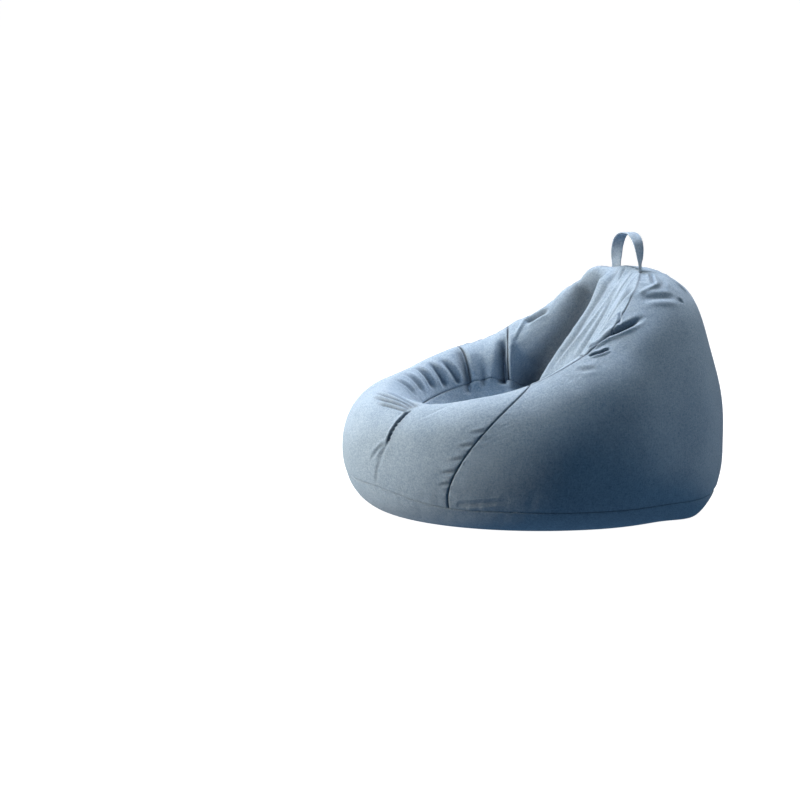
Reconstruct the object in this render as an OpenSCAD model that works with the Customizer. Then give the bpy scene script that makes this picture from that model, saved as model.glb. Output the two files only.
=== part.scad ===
// Bean bag lounge chair: a sewn fabric cover in eight panels over a zipped liner full of polystyrene
// beads, with a zip round the back of the base and a carrying loop on the top ridge.
// Millimetres, +Z up. The chair faces -Y and stands on z = 0; the origin is the middle of its footprint.

/* [Overall] */
// Width across the fullest part of the sides
chair_w = 820; // [740:10:880]
// Depth from the front bulge to the rear bulge
chair_d = 900; // [820:10:1000]
// Height of the back's top ridge
back_h = 552; // [520:2:590]
// Height of the front lip's crest
lip_h = 272; // [250:2:290]
// Height of the fullest part of the sides above the floor
bulge_z = 137; // [125:1:150]
// How far the footprint stands in from the fullest part
foot_inset = 86; // [76:2:100]

/* [Seat hollow] */
// Height of the hollow's lowest point
seat_z = 150; // [130:5:180]
// Place of the hollow's lowest point, from front to back
seat_y = -60; // [-80:5:-40]
// Half of the distance between the crests of the two arms
crest_half_w = 280; // [260:5:295]
// Place of the front lip's crest
lip_crest_y = -346; // [-356:2:-320]
// Place of the back's top ridge
ridge_y = 248; // [230:2:260]
// How much higher the left end of the back's ridge stands than its middle, as a lounge bag slumps
slump = 15; // [0:1:30]
// How much lower the left arm's crest stands than the middle of the two arms
arm_slump = 15; // [0:1:25]

/* [Cover] */
// Thickness of the woven cover fabric
fabric_t = 1.5; // [1:0.1:2]
// Angle of the front seams at the crest of the arms, from the front
front_seam_angle = 80; // [75:5:85]
// How far the front seams slant forward from the crest to the base, as an angle
front_seam_slant = 34; // [30:1:38]
// Angle of the seams between the arms and the inner back, from the front
arm_seam_angle = 105; // [105:5:120]
// Gap left between neighbouring panels at a seam
seam_gap = 1; // [0.8:0.1:1.4]

/* [Liner and filling] */
// Depth of the liner's outer face under the cover's outer face
liner_depth = 7; // [6.5:0.5:9]
// Thickness of the liner fabric
liner_t = 0.8; // [0.5:0.1:1]
// Gap between the liner and the bead filling
bead_gap = 1.2; // [0.8:0.1:2]

/* [Cover zip] */
// Half of the angle that the zip covers round the back of the base
zip_half_angle = 38; // [35:1:38]
// Width of one zip tape
zip_tape_w = 13; // [11:0.5:14]
// Width of one row of teeth
zip_row_w = 2.1; // [1.8:0.1:2.2]
// Half of the slot between the two rows of teeth, in which the slider's wedge runs
zip_slot_half = 0.5; // [0.4:0.05:0.6]
// Length of the pull tab
pull_len = 28; // [22:1:34]

/* [Carrying loop] */
// Distance between the two sewn ends of the loop
loop_span = 150; // [130:5:160]
// Height of the loop above its hinge line
loop_h = 78; // [65:1:85]
// Width of the strap
strap_w = 28; // [20:1:30]
// Thickness of the strap
strap_t = 2.6; // [2:0.2:3]
// Height of the hinge line above the ridge
loop_root_h = 10; // [9:0.5:12]

/* [Hidden] */

fabric_blue = [0.36, 0.46, 0.57];
column = 5;             // degrees between the columns of the cover's surface
seat_edge_t = 3.42;     // place of the seat's seam at the front, along the profile
back_edge_t = 0.4;      // how much further down the profile it lies at the back
back_edge_power = 4;    // how suddenly it drops there
t_foot = 1;             // the profile's parameter at the footprint's edge,
t_bulge = 2;            // at the fullest part,
t_crest = 3;            // at the crest,
t_seat = 4;             // and at the middle of the seat
t_closed = 3.88;        // where a skin closes over the middle of the seat
base_seam_phi = 53;     // the base seam's angle round the lower quarter of the profile
t_base = t_foot + base_seam_phi / 90;
front_base_rise = 0.16; // how much further up the profile that seam lies at the front,
rise_to = 88;           // an extra that ends at this angle
rise_over = 48;         // and takes this many degrees to build up
foot_w = chair_w / 2 - foot_inset;
front_extra_inset = 10;                 // how much further the footprint stands in at the front
rear_r = chair_w / 2;                   // the rear half is round in plan,
plan_y = chair_d / 2 - rear_r;          // about this centre,
front_r = chair_d / 2 + plan_y;         // and the front half is an ellipse that reaches this far
rise = 1.47;            // how the crest climbs from the lip to the ridge,
step_share = 0.23;      // the share of that climb which comes in a step beside the ridge,
step_from = 0.68;       // from this share of the way back
step_to = 0.97;         // to this one
shoulder = 0.79;        // exponent of the back's profile: under 1 makes its shoulders fuller

seam_bow = 2;           // exponent of the front seams' slant: over 1 bows them forward
near_front = 0.32;      // how far the hollow's wall leans in under the front crest,
near_rear = 0.19;       // and under the rear one, as a share of the way to its lowest point
far_front = 0.74;       // where the wall meets the seat, as a share of the way to the front crest,
far_rear = 0.5;         // and to the rear one
profile_l = 310;        // length of profile that one step of its parameter covers, where it is short

function clamp01(k) = max(0, min(1, k));
function ease(k) = let (c = clamp01(k)) c * c * (3 - 2 * c);
function mix(a, b, k) = a + (b - a) * k;
function rear_share(a) = (1 - cos(a)) / 2;
function wrapped(u) = u > 180 ? u - 360 : u;

// The columns lean forward towards the base, so that the front seams are columns too.
function slant_share(a) = a <= front_seam_angle
    ? sin(90 * a / front_seam_angle)
    : cos(90 * (a - front_seam_angle) / (180 - front_seam_angle));
function slant(t) = front_seam_slant * (1 - pow(clamp01((t - t_base) / (t_crest - t_base)), seam_bow));
function plan_angle(u, t) = let (w = wrapped(u)) w - sign(w) * slant(t) * slant_share(abs(w));

// Four rings that the profile passes through, for a plan angle a (0 is the front, 90 the left side)
function round_ring(a, side, front) = [side * sin(a), plan_y - (cos(a) > 0 ? front : side) * cos(a)];
function foot_ring(a) = round_ring(a, foot_w, front_r - foot_inset - front_extra_inset);
function bulge_ring(a) = round_ring(a, rear_r, front_r);
function crest_ring(a) = [crest_half_w * sin(a), mix(lip_crest_y, ridge_y, rear_share(a))];
function crest_z(a) = let (q = rear_share(a),
        climb = mix(pow(q, rise), ease((q - step_from) / (step_to - step_from)), step_share))
    mix(lip_h, back_h, climb) + (slump * pow(q, 3) - arm_slump * (1 - q)) * sin(a);

function lower_side(a, phi) = let (p = mix(foot_ring(a), bulge_ring(a), sin(phi)))
    [p.x, p.y, bulge_z * (1 - cos(phi))];
function upper_side(a, phi) =
    let (e = mix(1, shoulder, pow(rear_share(a), 2)), c = min(max(phi, 0), 90),
         p = mix(bulge_ring(a), crest_ring(a), 1 - pow(cos(c), e)))
    [p.x, p.y, mix(bulge_z, crest_z(a), pow(sin(c), e))];
function hollow(a, k) =
    let (c = crest_ring(a), s = [0, seat_y], q = ease(rear_share(a) * 2 - 1),
         near = mix(c, s, mix(near_front, near_rear, q)), far = mix(s, c, mix(far_front, far_rear, q)),
         p = pow(1 - k, 3) * c + 3 * k * pow(1 - k, 2) * near + 3 * k * k * (1 - k) * far + pow(k, 3) * s)
    [p.x, p.y, mix(crest_z(a), seat_z, ease(k))];

function surface_point(u, t) = let (a = plan_angle(u, t))
    t <= t_foot ? let (p = foot_ring(a) * max(t, 0)) [p.x, p.y, 0]
    : t <= t_bulge ? lower_side(a, 90 * (t - t_foot))
    : t <= t_crest ? upper_side(a, 90 * (t - t_bulge))
    : hollow(a, min(t - t_crest, 1));

function unit(v) = v / norm(v);
function outward(u, t) = t <= t_foot ? [0, 0, -1] : t > t_seat - 0.01 ? [0, 0, 1]
    : unit(cross(surface_point(u + 0.5, t) - surface_point(u - 0.5, t),
                 surface_point(u, t + 0.005) - surface_point(u, t - 0.005)));
function under(u, t, depth) = surface_point(u, t) - depth * outward(u, t);

function base_seam_t(u) = t_base + front_base_rise * ease((rise_to - abs(wrapped(u))) / rise_over);
function seat_seam_t(u) = seat_edge_t + back_edge_t * pow(rear_share(u), back_edge_power);
slot_t = 0.031;         // half of the opening over the zip, along the profile
join_t = seam_gap / 2 / profile_l;      // half of the seam gap, along the profile,
edge_u = seam_gap / 2 / crest_half_w * 180 / PI;    // and as an angle round the crest
function beside_zip(u) = abs(wrapped(u)) >= 155;
function base_edge(u) = beside_zip(u) ? slot_t : join_t;

// A panel of the cover: a skin between two columns and two heights, with square edges.
// low and high are lists of the profile parameter at each column.
module panel(columns, low, high, rows, depth = 0, thick = fabric_t) {
    n = len(columns);
    m = rows + 1;
    outer = [for (i = [0:n - 1], j = [0:rows]) under(columns[i], mix(low[i], high[i], j / rows), depth)];
    inner = [for (i = [0:n - 1], j = [0:rows])
        under(columns[i], mix(low[i], high[i], j / rows), depth + thick)];
    k = n * m;
    skin = [for (i = [0:n - 2], j = [0:rows - 1])
        let (a = i * m + j, b = a + 1, c = a + m + 1, d = a + m) each [[a, b, c], [a, c, d]]];
    lining = [for (f = skin) [f[2] + k, f[1] + k, f[0] + k]];
    ends = [for (j = [0:rows - 1]) let (a = j, b = (n - 1) * m + j)
        each [[a, a + k, a + 1], [a + 1, a + k, a + 1 + k], [b, b + 1, b + k], [b + 1, b + 1 + k, b + k]]];
    edges = [for (i = [0:n - 2]) let (a = i * m, b = a + m, c = a + rows, d = b + rows)
        each [[a, b, a + k], [b, b + k, a + k], [c, c + k, d], [d, c + k, d + k]]];
    polyhedron(concat(outer, inner), concat(skin, lining, ends, edges), convexity = 8);
}

// A dish: a skin closed all round, with a middle point that shuts it. flat_end says that the first
// ring is the edge of a flat floor; otherwise the last ring closes on the middle of the seat.
module dish(columns, low, high, rows, depth, thick, flat_end) {
    n = len(columns);
    m = rows + 1;
    face = [for (d = [depth, depth + thick]) each
        [for (i = [0:n - 1], j = [0:rows]) under(columns[i], mix(low[i], high[i], j / rows), d)]];
    k = n * m;
    middle = flat_end ? [[0, 0, depth], [0, 0, depth + thick]]
        : [[0, seat_y, seat_z - depth], [0, seat_y, seat_z - depth - thick]];
    shut = flat_end ? 0 : rows;     // the row that the middle joins,
    rim = flat_end ? rows : 0;      // and the open edge
    skin = [for (i = [0:n - 1], j = [0:rows - 1])
        let (a = i * m + j, b = a + 1, c = ((i + 1) % n) * m + j + 1, d = c - 1) each [[a, b, c], [a, c, d]]];
    cap = [for (i = [0:n - 1]) let (a = i * m + shut, b = ((i + 1) % n) * m + shut)
        flat_end ? [a, b, 2 * k] : [a, 2 * k, b]];
    lining = [for (f = concat(skin, cap)) [for (v = [2, 1, 0]) f[v] == 2 * k ? 2 * k + 1 : f[v] + k]];
    edge = [for (i = [0:n - 1]) let (a = i * m + rim, b = ((i + 1) % n) * m + rim)
        each flat_end ? [[a, a + k, b], [b, a + k, b + k]] : [[a, b, a + k], [b, b + k, a + k]]];
    polyhedron(concat(face, middle), concat(skin, cap, lining, edge), convexity = 8);
}

function columns_between(u0, u1, step) = [for (i = [0:round((u1 - u0) / step)])
    let (u = u0 + i * step) u == u0 ? u + edge_u : u >= u1 - 0.001 ? u1 - edge_u : u];
all_round = [for (u = [-180:column:179]) u];
filled_rows = 13;       // rows of the liner and the filling over the base seam

module base_panel() {
    color(fabric_blue)
        dish(all_round, [for (u = all_round) t_foot], [for (u = all_round) base_seam_t(u) - base_edge(u)],
             5, 0, fabric_t, true);
}

module seat_panel() {
    color(fabric_blue)
        dish(all_round, [for (u = all_round) seat_seam_t(u) + join_t], [for (u = all_round) t_closed],
             5, 0, fabric_t, false);
}

module front_panel() {
    us = columns_between(-front_seam_angle, front_seam_angle, column);
    color(fabric_blue)
        panel(us, [for (u = us) base_seam_t(u) + join_t], [for (u = us) seat_seam_t(u) - join_t], 14);
}

// side is 1 for the sitter's left and -1 for the right
module side_panel(side) {
    us = side > 0 ? columns_between(front_seam_angle, 180, column)
        : columns_between(-180, -front_seam_angle, column);
    color(fabric_blue)
        panel(us, [for (u = us) base_seam_t(u) + base_edge(u)], [for (u = us) t_crest - join_t], 10);
}

module arm_panel(side) {
    us = side > 0 ? columns_between(front_seam_angle, arm_seam_angle, column)
        : columns_between(-arm_seam_angle, -front_seam_angle, column);
    color(fabric_blue)
        panel(us, [for (u = us) t_crest + join_t], [for (u = us) seat_seam_t(u) - join_t], 5);
}

module inner_back_panel() {
    us = columns_between(arm_seam_angle, 360 - arm_seam_angle, column);
    color(fabric_blue)
        panel(us, [for (u = us) t_crest + join_t], [for (u = us) seat_seam_t(u) - join_t], 8);
}

module liner_top() {
    color("white")
        dish(all_round, [for (u = all_round) t_base + join_t * 2], [for (u = all_round) t_closed],
             filled_rows, liner_depth, liner_t, false);
}

module liner_base() {
    color("white")
        dish(all_round, [for (u = all_round) t_foot], [for (u = all_round) t_base - join_t * 2],
             4, liner_depth, liner_t, true);
}

// The beads fill the liner as one body: rings of points from the floor to the seat.
module bead_fill() {
    depth = liner_depth + liner_t + bead_gap;
    rings = concat([for (i = [0:4]) mix(t_foot, t_base, i / 4)], 
        [for (i = [1:filled_rows]) mix(t_base, t_closed, i / filled_rows)]);
    n = len(all_round);
    m = len(rings);
    points = [for (u = all_round, t = rings) under(u, t, depth)];
    ends = [[0, 0, depth], [0, seat_y, seat_z - depth]];
    skin = [for (i = [0:n - 1], j = [0:m - 2])
        let (a = i * m + j, b = a + 1, c = ((i + 1) % n) * m + j + 1, d = c - 1) each [[a, b, c], [a, c, d]]];
    caps = [for (i = [0:n - 1]) let (a = i * m, b = ((i + 1) % n) * m)
        each [[a, b, n * m], [a + m - 1, n * m + 1, b + m - 1]]];
    color("ivory")
        polyhedron(concat(points, ends), concat(skin, caps), convexity = 8);
}

// ---- Cover zip. It follows a true circle, because the rear half of the cover is round. ----
zip_r = foot_w + foot_inset * sin(base_seam_phi);
zip_z = bulge_z * (1 - cos(base_seam_phi));
zip_lean = atan2(bulge_z * sin(base_seam_phi), foot_inset * cos(base_seam_phi));   // slope of the cover there
closed_end = 35.5;      // the slider's place when the zip is shut, from the middle of the back
tape_top = -3.5;        // depth of the tapes' outer face under the cover
tape_t = 0.5;
teeth_top = -2.4;
teeth_bottom = -4.3;

// Sweeps a section round the back. x is outward from the cover's face and y up along it.
module round_back(from, to) {
    translate([0, plan_y, 0]) rotate([0, 0, 90 + from])
        rotate_extrude(angle = to - from, $fn = 180)
            translate([zip_r, zip_z]) rotate(zip_lean - 90) children();
}

// Puts a piece on the zip line at an angle from the middle of the back. x runs along the zip,
// y up the cover and z outward.
module on_zip(angle) {
    translate([0, plan_y, 0]) rotate([0, 0, angle]) translate([0, zip_r, zip_z])
        rotate([180 - zip_lean, 0, 180]) children();
}

module zip_tape(up) {
    color("slategray") round_back(-zip_half_angle, zip_half_angle)
        translate([tape_top - tape_t, up ? zip_slot_half + zip_row_w + 0.1 : -zip_tape_w])
            square([tape_t, zip_tape_w - zip_slot_half - zip_row_w - 0.1]);
}

module zip_teeth(up) {
    color("darkslategray") round_back(-zip_half_angle + 1, zip_half_angle - 1)
        translate([teeth_bottom, up ? zip_slot_half : -zip_slot_half - zip_row_w])
            square([teeth_top - teeth_bottom, zip_row_w]);
}

module zip_stops() {
    for (end = [-1, 1]) color("silver") on_zip(end * (zip_half_angle - 0.5))
        translate([-1.5, -2.6, teeth_bottom]) cube([3, 5.2, teeth_top - teeth_bottom]);
}

slider_l = 12;
slider_w = 10;
plate_t = 0.8;
plate_out = -2.1;       // underside of the slider's outer plate
plate_in = -4.6;        // top of its inner plate
pin_z = 0.2;            // height of the pull tab's pin
pin_r = 0.7;
arch_w = 1.6;

// Rounded plate, centred, standing on z
module plate(l, w, t, z) {
    translate([0, 0, z]) linear_extrude(t) union() {
        square([l - w / 2, w], center = true);
        for (e = [-1, 1]) translate([e * (l / 2 - w / 4), 0]) circle(d = w / 2, $fn = 24);
        square([l, w / 2], center = true);
    }
}

module slider_shape() {
    plate(slider_l, slider_w, plate_t, plate_out);
    plate(slider_l, slider_w, plate_t, plate_in - plate_t);
    translate([slider_l / 2 - 3.4, -0.35, plate_in]) cube([3, 0.7, plate_out - plate_in]);
    for (e = [-1, 1]) translate([e * 4 - 0.5, -arch_w / 2, plate_out + plate_t])
        cube([1, arch_w, 3.3]);
    translate([-4.5, -arch_w / 2, 1.2]) cube([9, arch_w, 0.8]);
}

module zip_slider() {
    color("dimgray") on_zip(closed_end) slider_shape();
}

module zip_pull_tab() {
    color("dimgray") on_zip(closed_end) {
        translate([0, 0, pin_z]) rotate([90, 0, 0]) cylinder(r = pin_r, h = 5.4, center = true, $fn = 24);
        for (e = [-1, 1]) translate([-pin_r, e * 2 - 0.7, pin_z - pin_r]) cube([7.7, 1.4, 2 * pin_r]);
        difference() {
            translate([6.5, -4, pin_z - pin_r]) cube([pull_len - 10.5, 8, 2 * pin_r]);
            translate([pull_len - 8, 0, -5]) cylinder(r = 1.6, h = 10, $fn = 32);
        }
        translate([pull_len - 4, 0, pin_z - pin_r]) cylinder(r = 4, h = 2 * pin_r, $fn = 48);
    }
}

module care_label() {
    color("white") on_zip(52) translate([-15, -33, 0.4]) cube([30, 32, 0.4]);
}

// ---- Liner zip: a straight one across the liner's underside, between the liner and the cover. ----
liner_zip_l = 420;
liner_zip_y = 120;

module liner_zip_tapes() {
    color("white") for (side = [0, 1])
        translate([-liner_zip_l / 2, liner_zip_y + (side ? 2.7 : -12.7), 4.3]) cube([liner_zip_l, 10, 0.5]);
}

module liner_zip_teeth() {
    color("gainsboro") for (side = [0, 1])
        translate([-liner_zip_l / 2 + 4, liner_zip_y + (side ? 0.5 : -2.6), 3.7])
            cube([liner_zip_l - 8, 2.1, 1.7]);
}

// A safety slider with no pull tab, so that a child can't open the liner
module liner_zip_slider() {
    color("silver") translate([-liner_zip_l / 2 + 16, liner_zip_y, 0]) {
        plate(11, 9, 0.9, 2.4);
        plate(11, 9, 0.6, 5.8);
        translate([2, -0.35, 3.3]) cube([3, 0.7, 2.5]);
    }
}

// ---- Carrying loop: a ribbon that is sewn flat into the ridge's seam and twists to cross it. ----
root_a = 180 - asin(loop_span / 2 / crest_half_w);     // plan angle of the left end
function ridge_point(a) = let (p = crest_ring(a)) [p.x, p.y, crest_z(a)];
function ridge_way(a) = unit(ridge_point(a + 0.5) - ridge_point(a - 0.5));
root_left = ridge_point(root_a);
root_right = ridge_point(-root_a);
loop_tilt = atan2(root_left.z - root_right.z, root_left.x - root_right.x);
loop_x = [cos(loop_tilt), 0, sin(loop_tilt)];
loop_z = [-sin(loop_tilt), 0, cos(loop_tilt)];
loop_middle = (root_left + root_right) / 2 + loop_root_h * loop_z;
ribbon_rings = 28;
tab_h = 1.8;            // height of the sewn end that stands out of the seam

// s runs from -1 at the right end of the loop to 1 at the left end
function loop_point(s) = let (a = 90 * s, half = norm(root_left - root_right) / 2)
    loop_middle + half * sign(s) * pow(abs(sin(a)), 0.8) * loop_x
    + (loop_h - strap_t / 2) * pow(cos(a), 0.75) * loop_z;
function loop_way(s) = unit(loop_point(min(s + 0.01, 1)) - loop_point(max(s - 0.01, -1)));
function across_loop(s) =
    abs(s) > 0.999 ? sign(s) * ridge_way(sign(s) * root_a)
    : let (b = 90 + 73 * s * sqrt(abs(s)), w = [cos(b), sin(b), 0], t = loop_way(s)) unit(w - (w * t) * t);

// A flat strip through a list of points, with its width along the directions in across
module ribbon(points, across, way, wide, thick) {
    n = len(points);
    corners = [for (i = [0:n - 1]) let (w = across[i] * wide / 2, h = unit(cross(way[i], across[i])) * thick / 2)
        each [points[i] - w - h, points[i] + w - h, points[i] + w + h, points[i] - w + h]];
    sides = [for (i = [0:n - 2], j = [0:3]) let (a = 4 * i + j, b = 4 * i + (j + 1) % 4)
        each [[a, a + 4, b], [b, a + 4, b + 4]]];
    e = 4 * (n - 1);
    polyhedron(corners,
        concat(sides, [[0, 1, 2], [0, 2, 3], [e, e + 2, e + 1], [e, e + 3, e + 2]]), convexity = 6);
}

module handle_strap() {
    places = [for (i = [-ribbon_rings:ribbon_rings]) i / ribbon_rings];
    color(fabric_blue) ribbon([for (s = places) loop_point(s)], [for (s = places) across_loop(s)],
        [for (s = places) loop_way(s)], strap_w, strap_t);
}

module handle_root_tabs() {
    color(fabric_blue) for (a = [root_a, -root_a])
        let (x = ridge_way(a), y = unit(cross([0, 0, 1], x)), z = cross(x, y), p = ridge_point(a))
            multmatrix([[x.x, y.x, z.x, p.x], [x.y, y.y, z.y, p.y], [x.z, y.z, z.z, p.z]])
                translate([-strap_w / 2, -strap_t / 2, 0.8]) cube([strap_w, strap_t, tab_h]);
}

base_panel();
front_panel();
side_panel(1);  // side_panel_left
side_panel(-1);  // side_panel_right
arm_panel(1);  // arm_panel_left
arm_panel(-1);  // arm_panel_right
inner_back_panel();
seat_panel();
handle_strap();
handle_root_tabs();
zip_tape(true);  // zip_tape_upper
zip_tape(false);  // zip_tape_lower
zip_teeth(true);  // zip_teeth_upper
zip_teeth(false);  // zip_teeth_lower
zip_stops();
zip_slider();
zip_pull_tab();
care_label();
liner_top();
liner_base();
liner_zip_tapes();
liner_zip_teeth();
liner_zip_slider();
bead_fill();
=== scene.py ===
"""Bean bag lounge chair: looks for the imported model. Metres, +Z up, the chair faces -Y."""
import math

import bmesh
import bpy
import numpy as np
from mathutils import Matrix, Vector


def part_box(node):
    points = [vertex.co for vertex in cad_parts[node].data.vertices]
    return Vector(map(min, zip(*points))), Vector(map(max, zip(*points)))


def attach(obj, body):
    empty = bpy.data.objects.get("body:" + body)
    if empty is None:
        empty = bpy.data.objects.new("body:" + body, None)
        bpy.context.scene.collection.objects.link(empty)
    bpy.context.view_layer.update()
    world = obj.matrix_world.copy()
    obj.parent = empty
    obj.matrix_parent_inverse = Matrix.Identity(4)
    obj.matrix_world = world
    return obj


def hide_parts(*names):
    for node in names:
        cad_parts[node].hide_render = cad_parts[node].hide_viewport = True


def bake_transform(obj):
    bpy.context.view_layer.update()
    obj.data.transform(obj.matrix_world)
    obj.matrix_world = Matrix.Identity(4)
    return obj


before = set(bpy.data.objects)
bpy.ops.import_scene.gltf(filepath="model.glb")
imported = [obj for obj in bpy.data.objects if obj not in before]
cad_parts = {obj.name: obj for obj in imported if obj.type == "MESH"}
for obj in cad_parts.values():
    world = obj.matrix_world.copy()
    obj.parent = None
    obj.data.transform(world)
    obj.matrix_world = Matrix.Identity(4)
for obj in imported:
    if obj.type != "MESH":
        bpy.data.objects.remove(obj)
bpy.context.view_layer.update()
scene = bpy.context.scene

# ---- Sizes: from the frame where it has them, and otherwise the design's own values ----
REAR_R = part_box("side_panel_left")[1].x + 0.0001
FRONT_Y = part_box("front_panel")[0].y
PLAN_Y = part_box("side_panel_left")[1].y - REAR_R
FRONT_R = PLAN_Y - FRONT_Y
BULGE_Z = 0.137
FOOT_INSET = 0.086
FRONT_EXTRA_INSET = 0.01
LIP_Z = 0.272
RIDGE_Z = 0.552
SLUMP = 0.015
ARM_SLUMP = 0.015
RISE, STEP_SHARE, STEP_FROM, STEP_TO = 1.47, 0.23, 0.68, 0.97
SHOULDER = 0.79
SEAT_Y = -0.06
SEAT_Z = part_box("seat_panel")[0].z + 0.0015
CREST_X = 0.28
LIP_Y = -0.346
RIDGE_Y = 0.248
FRONT_SEAM, ARM_SEAM = 80.0, 105.0
SEAM_SLANT = 34.0
BASE_SEAM_PHI = 53.0
T_BASE = 1 + BASE_SEAM_PHI / 90
FRONT_BASE_RISE = 0.16
FLOOR_T, CLOSED_T = 0.05, 3.97      # the profile's first and last places that are built
FABRIC_T = 0.0015
ZIP_SLOT_T = 0.024


def srgb(*rgb):
    """Linear colour from 0-255 screen values."""
    return tuple((c / 255 / 12.92) if c <= 10 else ((c / 255 + 0.055) / 1.055) ** 2.4 for c in rgb) + (1.0,)


# ---- The chair's surface, as in the design: u is an angle round it, t runs from the floor to the seat ----
def ease(k):
    k = np.clip(k, 0, 1)
    return k * k * (3 - 2 * k)


def wrapped(u):
    """The same angle between -180 and 180 degrees."""
    return (u + 180) % 360 - 180


def rear_share(a):
    """0 at the front of the chair, 1 at the back."""
    return (1 - np.cos(np.radians(a))) / 2


def plan_angle(u, t):
    """Direction from the middle of the plan for a place u. The seams slant low on the sides."""
    size = np.abs(u)
    share = np.where(size <= FRONT_SEAM, np.sin(np.radians(90 * size / FRONT_SEAM)),
                     np.cos(np.radians(90 * (size - FRONT_SEAM) / (180 - FRONT_SEAM))))
    slant = SEAM_SLANT * (1 - np.clip((t - T_BASE) / (3 - T_BASE), 0, 1) ** 2)
    return u - np.sign(u) * slant * share


def round_ring(a, side, front):
    """x and y of a plan outline: half a circle behind, and half an ellipse in front."""
    s, c = np.sin(np.radians(a)), np.cos(np.radians(a))
    return side * s, PLAN_Y - np.where(c > 0, front, side) * c


def crest_place(a):
    """x, y and z of the crest at a plan angle."""
    q, sine = rear_share(a), np.sin(np.radians(a))
    climb = (1 - STEP_SHARE) * q ** RISE + STEP_SHARE * ease((q - STEP_FROM) / (STEP_TO - STEP_FROM))
    z = LIP_Z + (RIDGE_Z - LIP_Z) * climb + (SLUMP * q ** 3 - ARM_SLUMP * (1 - q)) * sine
    return CREST_X * sine, LIP_Y + (RIDGE_Y - LIP_Y) * q, z


def body_surface(u, t):
    """Points on the smooth body for arrays of u (degrees) and t (0 to 4)."""
    a = plan_angle(wrapped(u), t)
    fx, fy = round_ring(a, REAR_R - FOOT_INSET, FRONT_R - FOOT_INSET - FRONT_EXTRA_INSET)
    bx, by = round_ring(a, REAR_R, FRONT_R)
    q = rear_share(a)
    cx, cy, cz = crest_place(a)
    low, up, k = np.radians(90 * (t - 1)), np.radians(90 * np.clip(t - 2, 0, 1)), np.clip(t - 3, 0, 1)
    power = 1 + (SHOULDER - 1) * q ** 2
    inward, climbed = 1 - np.maximum(np.cos(up), 0) ** power, np.sin(up) ** power
    rear = ease(2 * q - 1)
    near, far = 0.32 + (0.19 - 0.32) * rear, 0.74 + (0.5 - 0.74) * rear
    p1x, p1y = cx * (1 - near), cy + (SEAT_Y - cy) * near
    p2x, p2y = cx * far, SEAT_Y + (cy - SEAT_Y) * far
    b0, b1, b2, b3 = (1 - k) ** 3, 3 * k * (1 - k) ** 2, 3 * k * k * (1 - k), k ** 3
    zones = [t <= 1, t <= 2, t <= 3]
    x = np.select(zones, [fx * t, fx + (bx - fx) * np.sin(low), bx + (cx - bx) * inward],
                  b0 * cx + b1 * p1x + b2 * p2x)
    y = np.select(zones, [fy * t, fy + (by - fy) * np.sin(low), by + (cy - by) * inward],
                  b0 * cy + b1 * p1y + b2 * p2y + b3 * SEAT_Y)
    z = np.select(zones, [0 * t, BULGE_Z * (1 - np.cos(low)), BULGE_Z + (cz - BULGE_Z) * climbed],
                  cz + (SEAT_Z - cz) * ease(k))
    return np.stack([x, y, z], -1)


def outward(u, t):
    """Unit normals of the smooth body."""
    across = body_surface(u + 0.4, t) - body_surface(u - 0.4, t)
    along = body_surface(u, t + 0.004) - body_surface(u, t - 0.004)
    n = np.cross(across, along)
    return n / np.maximum(np.linalg.norm(n, axis=-1, keepdims=True), 1e-12)


def seat_seam_t(u):
    return 3.42 + 0.4 * rear_share(u) ** 4


def base_seam_t(u):
    return T_BASE + FRONT_BASE_RISE * ease((88 - np.abs(wrapped(u))) / 48)


# ---- Camera ----
AZIMUTH, ELEVATION, DISTANCE, LENS = 75.0, 9.2, 4.47, 85.0
MIDDLE_Z, RIGHT_OF_CENTRE, ABOVE_CENTRE = 0.247, 0.312, 0.005     # where the chair stands in the frame


def toward(azimuth, elevation):
    """Unit vector. Azimuth 0 is in front of the chair, and 90 at its left side."""
    a, e = math.radians(azimuth), math.radians(elevation)
    return Vector((math.sin(a) * math.cos(e), -math.cos(a) * math.cos(e), math.sin(e)))


def aim_camera():
    data = bpy.data.cameras.new("camera")
    data.lens = LENS
    camera = bpy.data.objects.new("camera", data)
    scene.collection.objects.link(camera)
    scene.camera = camera
    back, right = toward(AZIMUTH, ELEVATION), toward(AZIMUTH + 90, 0)
    up = back.cross(right)
    target = Vector((0, 0, MIDDLE_Z)) - RIGHT_OF_CENTRE * right - ABOVE_CENTRE * up
    camera.matrix_world = Matrix.Translation(target + DISTANCE * back) @ \
        Matrix((right, up, back)).transposed().to_4x4()


aim_camera()


# ---- Folds: each is a line over the surface that the cloth sinks or rises along ----
POINTS_AT_ONCE = 8000


def smooth_path(path, count=48):
    """A smooth curve through a short list of (u, t) places."""
    p = np.array(path, float)
    if len(p) == 2:
        return p[0] + (p[1] - p[0]) * np.linspace(0, 1, count)[:, None]
    p = np.vstack([2 * p[0] - p[1], p, 2 * p[-1] - p[-2]])
    s = np.linspace(0, len(p) - 3 - 1e-6, count)
    i = s.astype(int)
    k = (s - i)[:, None]
    a, b, c, d = p[i], p[i + 1], p[i + 2], p[i + 3]
    bend, twist = 2 * a - 5 * b + 4 * c - d, 3 * b - a - 3 * c + d
    return 0.5 * (2 * b + (c - a) * k + bend * k ** 2 + twist * k ** 3)


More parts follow.
